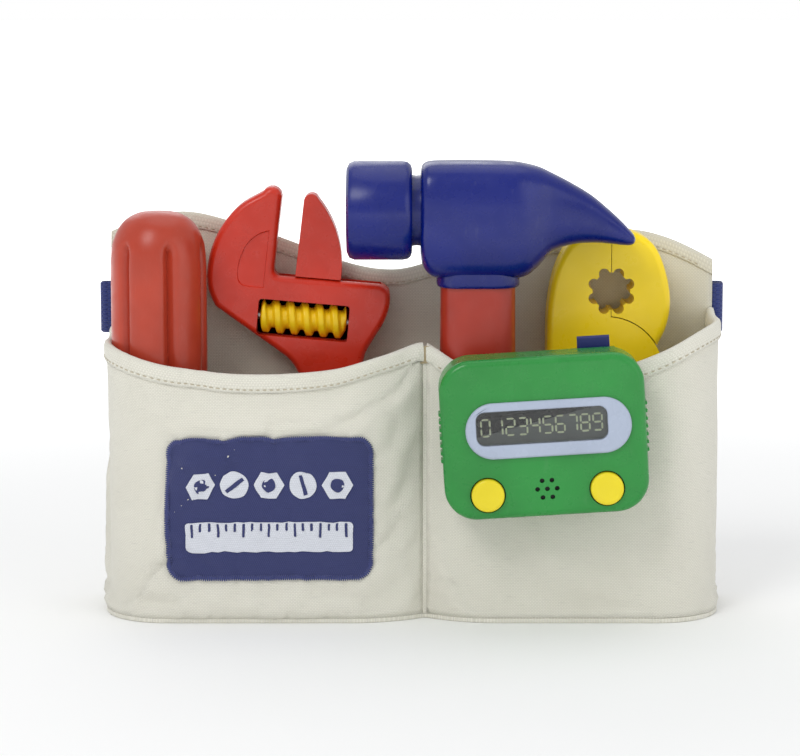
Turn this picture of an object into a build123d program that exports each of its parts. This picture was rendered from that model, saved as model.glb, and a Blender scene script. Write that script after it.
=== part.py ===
from build123d import *
import os
from math import cos, radians, sin

# Toy tool belt: a flat-bottomed canvas pouch on a waist strap, with four hollow plastic tools
# standing in its pockets and a toy pager clipped on the front. Everything is in millimetres.
# +Z is up, the front faces -Y and +X is to the right. The origin lies on the underside of the
# pouch's bottom panel, so the pouch stands on the plane z = 0.

# ---- driving dimensions ---------------------------------------------------------------------
CLOTH = 2.4                      # thickness of the canvas, two plies
POUCH_WIDTH = 294.0
SIDE_X = POUCH_WIDTH / 2
BACK_Y = 33.0                    # inner face of the back panel
FRONT_Y = -34.0                  # outermost face of the two pockets
WALL_HEIGHT = 150.0              # uncut height of the pocket walls, above every dip of the rim
SEAM_X = 6.0                     # seam between the two pockets
CORNER_R = 30.0                  # bend at the outer side of each pocket
SEAM_R = 58.0                    # gentle bend in towards the centre seam
BEND_X = 36.0                    # distance from the seam to where that bend starts

WEBBING_WIDTH = 25.0
WEBBING = 2.0                    # thickness of the strap webbing
BAND_Z = 142.0                   # middle of the waist band
STRAP_Y = 41.0                   # middle of the folded strap halves, behind the band
STRAP_END = 42.0                 # where each strap half meets its buckle half

WALL = 2.5                       # wall of the hollow plastic tools
RUNNING = 0.05                   # radial clearance of a running fit
GAP = 0.3                        # gap between faces that slide past each other

HANDLE_X = -120.3                # axis of the screwdriver
DRIVER_R = 22.8
DRIVER_TOP = 192.0

WRENCH_MID_Y = 23.0
WRENCH_DEPTH = 17.0
WRENCH_TILT = -5.0               # the wrench leans to the right

HAMMER_Y = -9.0
HEAD_Z = 192.8
HEAD_R = 23.2

PLIERS_MID_Y = 20.2
PLIERS_DEPTH = 22.0
PLIERS_X = 93.0
PLIERS_Z = 112.0
DISC_R = 28.2                    # lap joint of the pliers

PAGER_WIDTH = 94.0
PAGER_HEIGHT = 74.0
PAGER_X = 60.3
PAGER_Z = 93.3
PAGER_TILT = 3.5
PAGER_BACK_Y = -37.5
PAGER_SPLIT_Y = -47.0
PAGER_FRONT_Y = -61.0
PAGER_WALL = 2.0

os.makedirs("parts", exist_ok=True)


def save(builder, label):
    """Label the finished sub-part and write it as its own STEP file."""
    builder.part.label = label
    export_step(builder.part, f"parts/{label}.step")


def front_plane(x, y, z, tilt=0.0):
    """Upright plane that faces the front, turned anticlockwise by tilt degrees as seen there."""
    turn = radians(tilt)
    return Plane(origin=(x, y, z), x_dir=(cos(turn), 0, sin(turn)), z_dir=(0, -1, 0))


def discs(plane, points, radius):
    """Sketch of equal circles at the given points of a plane."""
    with BuildSketch(plane) as sketch:
        with Locations(*points):
            Circle(radius)
    return sketch.sketch


def panel(plane, width, height, radius, at=(0, 0)):
    """Sketch of one rounded rectangle on a plane."""
    with BuildSketch(plane) as sketch:
        with Locations(at):
            RectangleRounded(width, height, radius)
    return sketch.sketch


def above_curve(points, top):
    """Upright sketch at y = 0 of everything above a smooth curve, up to the height top."""
    with BuildSketch(Plane.XZ) as sketch:
        with BuildLine():
            Spline(*points)
            Polyline(points[-1], (points[-1][0], top), (points[0][0], top), points[0])
        make_face()
    return sketch.sketch


# ---- canvas pouch ---------------------------------------------------------------------------
def pocket_path(side, outward):
    """Edges of one pocket wall in plan, from its side seam to the centre seam.

    side is -1 for the left pocket and +1 for the right one; outward moves the line out from
    the middle of the cloth."""
    near = SEAM_X + side * BEND_X
    corner_x = side * (SIDE_X - CLOTH / 2 - CORNER_R)
    corner_y = FRONT_Y + CLOTH / 2 + CORNER_R
    edge_x = corner_x + side * (CORNER_R + outward)
    front = corner_y - CORNER_R - outward
    start = 180 if side < 0 else 0
    sweep = 90 if side < 0 else -90
    with BuildLine() as path:
        Line((edge_x, BACK_Y), (edge_x, corner_y))
        CenterArc((corner_x, corner_y), CORNER_R + outward, start, sweep)
        Line((corner_x, front), (near, front))
        seam_y = front + outward + SEAM_R
        CenterArc((near, seam_y), SEAM_R + outward, 270, -side * 42)
    return path.line


def pocket_band(side, inner, outer):
    """Plan sketch of the cloth of one pocket between two offsets from its middle line."""
    with BuildSketch() as sketch:
        with BuildLine():
            add(pocket_path(side, inner))
            add(pocket_path(side, outer))
            Line(pocket_path(side, inner) @ 0, pocket_path(side, outer) @ 0)
            Line(pocket_path(side, inner) @ 1, pocket_path(side, outer) @ 1)
        make_face()
    return sketch.sketch


RIM = [(-154, 135), (-137, 130), (-112, 123.5), (-78, 120), (-38, 122), (-12, 128), (SEAM_X, 131),
       (20, 124), (34, 119.5), (52, 118.5), (84, 118.5), (112, 127.5), (136, 138.5), (154, 144)]
BACK_TOP = [(-154, 175), (-132, 184), (-110, 188), (-84, 182), (-60, 174), (-30, 163), (-8, 160),
            (14, 165), (50, 172), (84, 177), (108, 179), (128, 174), (154, 161)]
RIM_TOP = 260.0

for side, label in ((-1, "left_pocket"), (1, "right_pocket")):
    with BuildPart() as pocket:
        extrude(pocket_band(side, -CLOTH / 2, CLOTH / 2), amount=WALL_HEIGHT)
        split(bisect_by=Plane.YZ.offset(SEAM_X + side * CLOTH / 2),
              keep=Keep.TOP if side > 0 else Keep.BOTTOM)
        split(bisect_by=Plane.XY.offset(CLOTH), keep=Keep.TOP)
        extrude(above_curve(RIM, RIM_TOP), amount=SIDE_X, both=True, mode=Mode.SUBTRACT)
    save(pocket, label)

with BuildPart() as divider:
    with BuildSketch(Plane.XY.offset(CLOTH)):
        with Locations((SEAM_X, (BACK_Y - 21.5) / 2)):
            Rectangle(CLOTH, BACK_Y + 21.5)
    extrude(amount=112)
save(divider, "pocket_divider")

with BuildPart() as back_panel:
    with BuildSketch(Plane.XY.offset(CLOTH)):
        with Locations((0, BACK_Y + CLOTH / 2)):
            Rectangle(POUCH_WIDTH, CLOTH)
    extrude(amount=200)
    extrude(above_curve(BACK_TOP, RIM_TOP), amount=SIDE_X, both=True, mode=Mode.SUBTRACT)
save(back_panel, "back_panel")

with BuildPart() as bottom_panel:
    with BuildSketch():
        for side in (-1, 1):
            with BuildLine():
                outline = pocket_path(side, CLOTH / 2)
                add(outline)
                Polyline(outline @ 1, (SEAM_X, (outline @ 1).Y), (SEAM_X, BACK_Y), outline @ 0)
            make_face()
        with Locations((0, BACK_Y + CLOTH / 2)):
            Rectangle(POUCH_WIDTH, CLOTH)
    extrude(amount=CLOTH)
save(bottom_panel, "bottom_panel")

LABEL_X = -67.0
LABEL_Z = 56.0
LABEL_WIDTH = 96.0
LABEL_HEIGHT = 67.0
LABEL_THICKNESS = 1.2
with BuildPart() as label_patch:
    extrude(pocket_band(-1, CLOTH / 2, CLOTH / 2 + LABEL_THICKNESS), amount=WALL_HEIGHT)
    extrude(panel(front_plane(LABEL_X, 0, LABEL_Z), LABEL_WIDTH, LABEL_HEIGHT, 7.0),
            amount=60, mode=Mode.INTERSECT)
save(label_patch, "label_patch")

# ---- waist band and folded strap ------------------------------------------------------------
BAND_BACK_Y = BACK_Y + CLOTH + WEBBING
with BuildPart() as waist_band:
    with BuildSketch(Plane.XY.offset(BAND_Z - WEBBING_WIDTH / 2)):
        with Locations((0, BAND_BACK_Y - WEBBING / 2)):
            Rectangle(POUCH_WIDTH, WEBBING)
    extrude(amount=WEBBING_WIDTH)
save(waist_band, "waist_band")

LOOP_WIDTH = 20.0
LOOP_CLOTH = 1.6
LOOP_TAB = 8.0
for number, x in enumerate((-124, -60, 60, 124), start=1):
    with BuildPart() as belt_loop:
        half = WEBBING_WIDTH / 2
        panel_y = BACK_Y + CLOTH
        with BuildSketch(Plane.YZ.offset(x - LOOP_WIDTH / 2)):
            with Locations((panel_y + (WEBBING + LOOP_CLOTH) / 2, BAND_Z)):
                Rectangle(WEBBING + LOOP_CLOTH, WEBBING_WIDTH + 2 * LOOP_CLOTH)
            with Locations((panel_y + LOOP_CLOTH / 2, BAND_Z)):
                Rectangle(LOOP_CLOTH, WEBBING_WIDTH + 2 * LOOP_CLOTH + 2 * LOOP_TAB)
            with Locations((panel_y + WEBBING / 2, BAND_Z)):
                Rectangle(WEBBING, WEBBING_WIDTH, mode=Mode.SUBTRACT)
        extrude(amount=LOOP_WIDTH)
    save(belt_loop, f"belt_loop_{number}")


def strap_sketch(x_from, x_to, y_mid, thickness):
    """Plan sketch of a straight piece of webbing."""
    with BuildSketch(Plane.XY.offset(BAND_Z - WEBBING_WIDTH / 2)) as sketch:
        with Locations(((x_from + x_to) / 2, y_mid)):
            Rectangle(abs(x_to - x_from), thickness)
    return sketch.sketch


for side, label in ((-1, "strap_left"), (1, "strap_right")):
    with BuildPart() as strap:
        extrude(strap_sketch(side * (SIDE_X + 2), side * STRAP_END, STRAP_Y, WEBBING),
                amount=WEBBING_WIDTH)
    save(strap, label)

# The right strap half runs through a tri-glide, and its free tail lies behind it.
GLIDE_X = 92.0
GLIDE_LENGTH = 20.0
GLIDE_BAR = 3.0
TAIL_Y = STRAP_Y + WEBBING
with BuildPart() as strap_tail:
    extrude(strap_sketch(GLIDE_X + 14, 56, TAIL_Y, WEBBING), amount=WEBBING_WIDTH)
save(strap_tail, "strap_tail")

with BuildPart() as tri_glide:
    with BuildSketch(Plane.YZ.offset(GLIDE_X - GLIDE_LENGTH / 2)):
        glide_y = (STRAP_Y + TAIL_Y) / 2
        with Locations((glide_y, BAND_Z)):
            RectangleRounded(2 * WEBBING + 2.4, WEBBING_WIDTH + 8, 1.1)
            Rectangle(2 * WEBBING, WEBBING_WIDTH, mode=Mode.SUBTRACT)
    extrude(amount=GLIDE_LENGTH)
    # the two slots the webbing is threaded through, either side of the middle bar
    with BuildSketch(front_plane(GLIDE_X, 0, BAND_Z)):
        with Locations((-GLIDE_LENGTH / 4, 0), (GLIDE_LENGTH / 4, 0)):
            RectangleRounded(GLIDE_LENGTH / 2 - GLIDE_BAR - 1, WEBBING_WIDTH - 2, 1)
    extrude(amount=60, both=True, mode=Mode.SUBTRACT)
save(tri_glide, "tri_glide")

# Side-release buckle, seen from behind: the socket is on the left half, the plug on the right.
BUCKLE_Y = STRAP_Y + 1.5
BUCKLE_DEPTH = 9.0
SOCKET_LENGTH = 34.0
SOCKET_HEIGHT = 33.0
BUCKLE_GAP = 6.5                 # half the gap between the open buckle halves
MOUTH_HEIGHT = 26.0
MOUTH_DEPTH = 5.0


def upright_box(x_from, x_to, y_mid, depth, height, radius=0.0):
    """Sketch on a plane facing +X of one rectangle, and the length to extrude it."""
    with BuildSketch(Plane.YZ.offset(min(x_from, x_to))) as sketch:
        with Locations((y_mid, BAND_Z)):
            if radius > 0:
                RectangleRounded(depth, height, radius)
            else:
                Rectangle(depth, height)
    return sketch.sketch, abs(x_to - x_from)


socket_in = -STRAP_END - 4
socket_out = -BUCKLE_GAP
with BuildPart() as buckle_socket:
    block, length = upright_box(socket_in, socket_out, BUCKLE_Y, BUCKLE_DEPTH, SOCKET_HEIGHT, 3)
    extrude(block, amount=length)
    mouth, length = upright_box(socket_in + 10, socket_out, BUCKLE_Y, MOUTH_DEPTH, MOUTH_HEIGHT, 1)
    extrude(mouth, amount=length, mode=Mode.SUBTRACT)
    slot, length = upright_box(socket_in, -STRAP_END + 3, STRAP_Y, WEBBING, WEBBING_WIDTH)
    extrude(slot, amount=length, mode=Mode.SUBTRACT)
    with BuildSketch(front_plane((socket_in + socket_out) / 2 + 4, 0, BAND_Z)):
        with Locations((0, SOCKET_HEIGHT / 2), (0, -SOCKET_HEIGHT / 2)):
            Rectangle(14, 9)
    extrude(amount=-60, mode=Mode.SUBTRACT)
save(buckle_socket, "buckle_socket")

plug_in = STRAP_END + 4
plug_base = plug_in - 15
PRONG_LENGTH = 22.0
PRONG_DEPTH = 3.6
with BuildPart() as buckle_plug:
    block, length = upright_box(plug_base, plug_in, BUCKLE_Y, BUCKLE_DEPTH, SOCKET_HEIGHT, 3)
    extrude(block, amount=length)
    slot, length = upright_box(STRAP_END - 3, plug_in, STRAP_Y, WEBBING, WEBBING_WIDTH)
    extrude(slot, amount=length, mode=Mode.SUBTRACT)
    with BuildSketch(front_plane(plug_base - PRONG_LENGTH / 2, BUCKLE_Y, BAND_Z)):
        with Locations((0, 10), (0, -10)):
            RectangleRounded(PRONG_LENGTH, 4.5, 1.5)
        with Locations((-PRONG_LENGTH / 2 + 4, 11), (-PRONG_LENGTH / 2 + 4, -11)):
            Circle(3)
        Rectangle(PRONG_LENGTH - 6, 3.5)
        with Locations((PRONG_LENGTH / 2 - 1, 0)):
            Rectangle(4, 24)
    extrude(amount=PRONG_DEPTH / 2, both=True)
save(buckle_plug, "buckle_plug")

# ---- screwdriver ----------------------------------------------------------------------------
DRIVER_NECK = 84.0
DRIVER_TIP = 3.0
FLUTES = 6
with BuildPart() as driver_body:
    with BuildSketch(Plane.XZ):
        with BuildLine():
            Polyline((0, DRIVER_NECK), (17, DRIVER_NECK), (21, DRIVER_NECK + 10),
                     (DRIVER_R, DRIVER_NECK + 26), (DRIVER_R, DRIVER_TOP - 22))
            Spline((DRIVER_R, DRIVER_TOP - 22), (17.5, DRIVER_TOP - 5.5), (0, DRIVER_TOP),
                   tangents=((0, 1), (-1, 0)))
            Line((0, DRIVER_TOP), (0, DRIVER_NECK))
        make_face()
    revolve(axis=Axis.Z)
    with BuildSketch(Plane.XY.offset(DRIVER_NECK + 14)):
        with PolarLocations(DRIVER_R + 1, FLUTES, start_angle=-12):
            Circle(3)
    extrude(amount=DRIVER_TOP - DRIVER_NECK - 38, mode=Mode.SUBTRACT)
    with BuildSketch(Plane.XY.offset(DRIVER_NECK + 20)):
        Circle(DRIVER_R - 5)
    extrude(amount=DRIVER_TOP - DRIVER_NECK - 34, mode=Mode.SUBTRACT)
    with BuildSketch(Plane.XY.offset(DRIVER_NECK)):
        Circle(7)
    extrude(amount=21, mode=Mode.SUBTRACT)

for keep, label in ((Keep.TOP, "driver_front_shell"), (Keep.BOTTOM, "driver_back_shell")):
    with BuildPart() as driver_shell:
        add(driver_body.part.split(Plane.XZ, keep=keep).moved(Location((HANDLE_X, 0, 0))))
    save(driver_shell, label)

with BuildPart() as driver_shaft:
    with BuildSketch(Plane((HANDLE_X, 0, DRIVER_TIP + 14))):
        Circle(7)
    extrude(amount=DRIVER_NECK + 20 - DRIVER_TIP - 14)
    with BuildSketch(Plane((HANDLE_X, 0, DRIVER_TIP + 14))):
        Rectangle(13.5, 4)
    with BuildSketch(Plane((HANDLE_X, 0, DRIVER_TIP))):
        Rectangle(15, 2.4)
    loft()
save(driver_shaft, "driver_shaft")

with BuildPart() as driver_collar:
    with BuildSketch(Plane((HANDLE_X, 0, DRIVER_NECK - 6))):
        Circle(15)
        Circle(7, mode=Mode.SUBTRACT)
    extrude(amount=6)
    chamfer(driver_collar.edges().filter_by(GeomType.CIRCLE).group_by(Axis.Z)[0].sort_by(
        SortBy.RADIUS)[-1], 2)
save(driver_collar, "driver_collar")

# ---- adjustable wrench ----------------------------------------------------------------------
WRENCH = front_plane(-66.6, WRENCH_MID_Y, 159.7, WRENCH_TILT)   # at the throat of the jaws
WINDOW_LEFT, WINDOW_RIGHT = -6.0, 38.0
WORM_V = -20.5
WORM_R = 8.3
WORM_PITCH = 7.0
PIN_R = 2.0
HANDLE_ANGLE = 18.0              # the handle leans away from the jaws by this angle
HANDLE_LENGTH = 104.5
HANDLE_HALF = 12.0
SLOT_LEFT, SLOT_RIGHT = 2.5, 52.0
JAW_LEFT, JAW_RIGHT = 10.5, 32.5
JAW_DEPTH = 8.0


def wrench_outline(inset):
    """Outline of the wrench body and handle, moved in by inset."""
    with BuildSketch(WRENCH) as sketch:
        with BuildLine():
            ThreePointArc((1.1, 38), (-3.3, 42.3), (-8.3, 39.5))
            ThreePointArc((-8.3, 39.5), (-26.0, 22.5), (-32, -1))
            ThreePointArc((-32, -1), (-30.6, -10), (-26.7, -17.3))
            Polyline((-26.7, -17.3), (14, -41.5), (40, -37))
            ThreePointArc((40, -37), (51.4, -25.8), (57, -9))
            ThreePointArc((57, -9), (56.6, -2), (51.5, 0))
            Polyline((51.5, 0), (0, 0), (1.1, 38))
        make_face()
        with BuildLine():
            down = Vector(sin(radians(HANDLE_ANGLE)), -cos(radians(HANDLE_ANGLE)))
            across = Vector(cos(radians(HANDLE_ANGLE)), sin(radians(HANDLE_ANGLE)))
            top = Vector(27, -30)
            end = top + down * (HANDLE_LENGTH + 10)
            ThreePointArc(end - across * HANDLE_HALF, end + down * HANDLE_HALF,
                          end + across * HANDLE_HALF)
            Polyline(end + across * HANDLE_HALF, top + across * (HANDLE_HALF + 2),
                     top - across * (HANDLE_HALF + 2), end - across * HANDLE_HALF)
        make_face()
        if inset > 0:
            offset(amount=-inset, mode=Mode.REPLACE)
    return sketch.sketch


WRENCH_SCREWS = [(-21, 6), (50, -14), (47, -92)]
with BuildPart() as wrench_body:
    extrude(wrench_outline(0), amount=WRENCH_DEPTH / 2, both=True)
    extrude(wrench_outline(WALL), amount=WRENCH_DEPTH / 2 - WALL, both=True, mode=Mode.SUBTRACT)
    # ribs round the window hold the worm's pin
    with BuildSketch(WRENCH):
        with Locations(((WINDOW_LEFT + WINDOW_RIGHT) / 2, WORM_V)):
            Rectangle(WINDOW_RIGHT - WINDOW_LEFT + 10, 2 * WORM_R + 5.5)
            Rectangle(WINDOW_RIGHT - WINDOW_LEFT, 2 * WORM_R + 1, mode=Mode.SUBTRACT)
    extrude(amount=WRENCH_DEPTH / 2 - 1, both=True)
    with BuildSketch(WRENCH):
        with Locations(((WINDOW_LEFT + WINDOW_RIGHT) / 2, WORM_V)):
            Rectangle(WINDOW_RIGHT - WINDOW_LEFT, 2 * WORM_R + 1)
    extrude(amount=WRENCH_DEPTH, both=True, mode=Mode.SUBTRACT)
    # slot for the neck of the sliding jaw, and the channel its rack runs in
    with BuildSketch(WRENCH):
        with Locations(((SLOT_LEFT + SLOT_RIGHT) / 2, -3)):
            Rectangle(SLOT_RIGHT - SLOT_LEFT, 16)
    extrude(amount=JAW_DEPTH / 2 + GAP, both=True, mode=Mode.SUBTRACT)
    extrude(discs(WRENCH, WRENCH_SCREWS, 4), amount=WRENCH_DEPTH / 2 - 1, both=True)
    extrude(discs(WRENCH, WRENCH_SCREWS, 1.3), amount=-WRENCH_DEPTH, mode=Mode.SUBTRACT)
    extrude(discs(WRENCH, WRENCH_SCREWS, 1.3), amount=5, mode=Mode.SUBTRACT)
    extrude(discs(WRENCH.offset(-WRENCH_DEPTH / 2 + 2), WRENCH_SCREWS, 2.6), amount=-10,
            mode=Mode.SUBTRACT)
    pin_plane = Plane(origin=WRENCH.from_local_coords((WINDOW_LEFT - 4, WORM_V, 0)),
                      x_dir=(0, 1, 0), z_dir=WRENCH.x_dir)
    extrude(discs(pin_plane, [(0, 0)], PIN_R), amount=WINDOW_RIGHT - WINDOW_LEFT + 8,
            mode=Mode.SUBTRACT)

for keep, label in ((Keep.TOP, "wrench_front_shell"), (Keep.BOTTOM, "wrench_back_shell")):
    with BuildPart() as wrench_shell:
        add(wrench_body.part.split(WRENCH, keep=keep))
    save(wrench_shell, label)

with BuildPart() as wrench_screws:
    extrude(discs(WRENCH.offset(-WRENCH_DEPTH / 2 + 2), WRENCH_SCREWS, 2.6), amount=-1.6)
    extrude(discs(WRENCH.offset(-WRENCH_DEPTH / 2 + 2), WRENCH_SCREWS, 1.3),
            amount=WRENCH_DEPTH / 2 - 2 + 5)
save(wrench_screws, "wrench_screws")

with BuildPart() as worm_pin:
    extrude(discs(pin_plane, [(0, 0)], PIN_R), amount=WINDOW_RIGHT - WINDOW_LEFT + 8)
save(worm_pin, "worm_pin")

WORM_LENGTH = 6 * WORM_PITCH
with BuildPart() as worm:
    worm_plane = pin_plane.offset(4 + (WINDOW_RIGHT - WINDOW_LEFT - WORM_LENGTH) / 2)
    with BuildSketch(Plane(origin=worm_plane.origin, x_dir=worm_plane.z_dir, z_dir=(0, -1, 0))):
        with BuildLine():
            root = WORM_R - 2.6
            for ridge in range(6):
                start = ridge * WORM_PITCH
                Polyline((start, root), (start + 1.6, WORM_R), (start + 5.4, WORM_R),
                         (start + WORM_PITCH, root))
            Polyline((WORM_LENGTH, root), (WORM_LENGTH, PIN_R + RUNNING),
                     (0, PIN_R + RUNNING), (0, root))
        make_face()
    revolve(axis=Axis(worm_plane.origin, worm_plane.z_dir))
save(worm, "worm")

with BuildPart() as wrench_jaw:
    with BuildSketch(WRENCH):
        with BuildLine():
            Polyline((JAW_LEFT, GAP), (JAW_LEFT + 1.2, 37))
            ThreePointArc((JAW_LEFT + 1.2, 37), (15, 40.5), (18.5, 38.5))
            ThreePointArc((18.5, 38.5), (27.6, 25.5), (JAW_RIGHT, GAP))
            Line((JAW_RIGHT, GAP), (JAW_LEFT, GAP))
        make_face()
    extrude(amount=WRENCH_DEPTH / 2 - 0.8, both=True)
    with BuildSketch(WRENCH):
        with Locations(((JAW_LEFT + JAW_RIGHT) / 2 - 1, -3.5)):
            Rectangle(JAW_RIGHT - JAW_LEFT - 4, 9)
        with Locations(*[((JAW_LEFT + JAW_RIGHT) / 2 - 1 + n * WORM_PITCH, -9) for n in (-1, 0, 1)]):
            Rectangle(3, 3.5)
    extrude(amount=JAW_DEPTH / 2, both=True)
save(wrench_jaw, "wrench_jaw")

# ---- hammer ---------------------------------------------------------------------------------
HANDLE_MID_X = 31.0
HANDLE_TOP = 157.2
HANDLE_BOTTOM = 3.0
HANDLE_WIDTH = 36.0
HANDLE_DEPTH = 30.0
HEAD_LEFT, HEAD_RIGHT = 4.0, 63.5
BLOCK_LOW, BLOCK_HIGH = 161.3, 216.0
BLOCK_MID, BLOCK_HEIGHT = (BLOCK_LOW + BLOCK_HIGH) / 2, BLOCK_HIGH - BLOCK_LOW
POLL_LEFT, POLL_RIGHT = -31.0, 0.0
CLAW_DEPTH = 24.0
hammer_mid = front_plane(0, HAMMER_Y, 0)
HAMMER_SCREWS = [(12, 205), (52, 205), (12, 178)]


def claw_sketch():
    """Side view of the curved claw, from inside the head out to its rounded tip."""
    with BuildSketch(hammer_mid) as sketch:
        with BuildLine():
            Spline((46, 215.8), (60, 213.5), (80, 204), (103.5, 183), tangents=((1, 0), (0.75, -1)))
            ThreePointArc((103.5, 183), (104.6, 178.6), (101, 176.4))
            Spline((101, 176.4), (86, 178.3), (70, 177.5), (61, 170), (46, 169.8),
                   tangents=((-1, 0.1), (-1, 0)))
            Line((46, 169.8), (46, 215.8))
        make_face()
    return sketch.sketch


with BuildPart() as hammer_head:
    with BuildSketch(Plane.YZ.offset(HEAD_LEFT)):
        with Locations((HAMMER_Y, BLOCK_MID)):
            RectangleRounded(44, BLOCK_HEIGHT, 12)
    extrude(amount=HEAD_RIGHT - HEAD_LEFT - 10)
    with BuildSketch(Plane.YZ.offset(HEAD_RIGHT - 10)):
        with Locations((HAMMER_Y, BLOCK_MID)):
            RectangleRounded(44, BLOCK_HEIGHT, 12)
    with BuildSketch(Plane.YZ.offset(HEAD_RIGHT)):
        with Locations((HAMMER_Y, HEAD_Z + 1)):
            RectangleRounded(30, 2 * HEAD_R - 10, 11)
    loft()
    extrude(claw_sketch(), amount=CLAW_DEPTH / 2, both=True)
    with BuildSketch(Plane.YZ.offset(POLL_LEFT)):
        with Locations((HAMMER_Y, HEAD_Z)):
            Circle(HEAD_R)
    extrude(amount=POLL_RIGHT - POLL_LEFT)
    with BuildSketch(Plane.YZ.offset(POLL_RIGHT - 1)):
        with Locations((HAMMER_Y, HEAD_Z)):
            Circle(17)
    extrude(amount=HEAD_LEFT - POLL_RIGHT + 2)
    with BuildSketch(Plane.XY.offset(HANDLE_TOP)):
        with Locations((HANDLE_MID_X, HAMMER_Y)):
            RectangleRounded(HANDLE_WIDTH + 3, HANDLE_DEPTH + 3, 10)
    extrude(amount=14)
    # hollow inside of the poll, the neck, the head and the collar
    with BuildSketch(Plane.YZ.offset(POLL_LEFT + WALL)):
        with Locations((HAMMER_Y, HEAD_Z)):
            Circle(HEAD_R - WALL)
    extrude(amount=POLL_RIGHT - POLL_LEFT - 2 * WALL, mode=Mode.SUBTRACT)
    with BuildSketch(Plane.YZ.offset(HEAD_LEFT + WALL)):
        with Locations((HAMMER_Y, BLOCK_MID)):
            RectangleRounded(44 - 2 * WALL, BLOCK_HEIGHT - 2 * WALL, 12 - WALL)
    extrude(amount=HEAD_RIGHT - HEAD_LEFT - 10 - WALL, mode=Mode.SUBTRACT)
    with BuildSketch(Plane.YZ.offset(POLL_RIGHT - 2 * WALL)):
        with Locations((HAMMER_Y, HEAD_Z)):
            Circle(17 - WALL)
    extrude(amount=HEAD_LEFT - POLL_RIGHT + 4 * WALL, mode=Mode.SUBTRACT)
    with BuildSketch(Plane.XY.offset(HANDLE_TOP)):
        with Locations((HANDLE_MID_X, HAMMER_Y)):
            RectangleRounded(HANDLE_WIDTH - 8, HANDLE_DEPTH - 8, 6)
    extrude(amount=14, mode=Mode.SUBTRACT)
    # V between the two prongs of the claw
    with BuildSketch(Plane.XY.offset(160)):
        with BuildLine():
            Polyline((74, HAMMER_Y), (120, HAMMER_Y - 5), (120, HAMMER_Y + 5), (74, HAMMER_Y))
        make_face()
    extrude(amount=60, mode=Mode.SUBTRACT)
    extrude(discs(hammer_mid, HAMMER_SCREWS, 4), amount=20, both=True)
    extrude(discs(hammer_mid, HAMMER_SCREWS, 1.3), amount=-30, mode=Mode.SUBTRACT)
    extrude(discs(hammer_mid, HAMMER_SCREWS, 1.3), amount=6, mode=Mode.SUBTRACT)
    extrude(discs(hammer_mid.offset(-17), HAMMER_SCREWS, 2.6), amount=-20, mode=Mode.SUBTRACT)

for keep, label in ((Keep.TOP, "hammer_head_front"), (Keep.BOTTOM, "hammer_head_back")):
    with BuildPart() as head_shell:
        add(hammer_head.part.split(hammer_mid, keep=keep))
    save(head_shell, label)

with BuildPart() as head_screws:
    extrude(discs(hammer_mid.offset(-17), HAMMER_SCREWS, 2.6), amount=-1.6)
    extrude(discs(hammer_mid.offset(-17), HAMMER_SCREWS, 1.3), amount=23)
save(head_screws, "hammer_head_screws")

HANDLE_SCREWS = [(HANDLE_MID_X, 130), (HANDLE_MID_X, 75), (HANDLE_MID_X, 20)]
with BuildPart() as hammer_handle:
    with BuildSketch(Plane.XY.offset(HANDLE_BOTTOM)):
        with Locations((HANDLE_MID_X, HAMMER_Y)):
            RectangleRounded(HANDLE_WIDTH + 3, HANDLE_DEPTH + 2, 13)
    with BuildSketch(Plane.XY.offset(100)):
        with Locations((HANDLE_MID_X, HAMMER_Y)):
            RectangleRounded(HANDLE_WIDTH + 2, HANDLE_DEPTH + 1, 13)
    with BuildSketch(Plane.XY.offset(HANDLE_TOP)):
        with Locations((HANDLE_MID_X, HAMMER_Y)):
            RectangleRounded(HANDLE_WIDTH, HANDLE_DEPTH, 13)
    loft()
    with BuildSketch(Plane.XY.offset(HANDLE_TOP)):
        with Locations((HANDLE_MID_X, HAMMER_Y)):
            RectangleRounded(HANDLE_WIDTH - 8, HANDLE_DEPTH - 8, 6)
    extrude(amount=9)
    with BuildSketch(Plane.XY.offset(HANDLE_BOTTOM + WALL)):
        with Locations((HANDLE_MID_X, HAMMER_Y)):
            RectangleRounded(HANDLE_WIDTH - 2 * WALL, HANDLE_DEPTH - 2 * WALL, 9)
    extrude(amount=HANDLE_TOP - HANDLE_BOTTOM - 2 * WALL - 1, mode=Mode.SUBTRACT)
    with BuildSketch(Plane.XY.offset(HANDLE_TOP - 12)):
        with Locations((HANDLE_MID_X, HAMMER_Y)):
            RectangleRounded(HANDLE_WIDTH - 13, HANDLE_DEPTH - 13, 4)
    extrude(amount=24, mode=Mode.SUBTRACT)
    extrude(discs(hammer_mid, HANDLE_SCREWS, 4), amount=HANDLE_DEPTH / 2 - 1, both=True)
    extrude(discs(hammer_mid, HANDLE_SCREWS, 1.3), amount=-30, mode=Mode.SUBTRACT)
    extrude(discs(hammer_mid, HANDLE_SCREWS, 1.3), amount=6, mode=Mode.SUBTRACT)
    extrude(discs(hammer_mid.offset(-12), HANDLE_SCREWS, 2.6), amount=-20, mode=Mode.SUBTRACT)

for keep, label in ((Keep.TOP, "hammer_handle_front"), (Keep.BOTTOM, "hammer_handle_back")):
    with BuildPart() as handle_shell:
        add(hammer_handle.part.split(hammer_mid, keep=keep))
    save(handle_shell, label)

with BuildPart() as handle_screws:
    extrude(discs(hammer_mid.offset(-12), HANDLE_SCREWS, 2.6), amount=-1.6)
    extrude(discs(hammer_mid.offset(-12), HANDLE_SCREWS, 1.3), amount=18)
save(handle_screws, "hammer_handle_screws")

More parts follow.
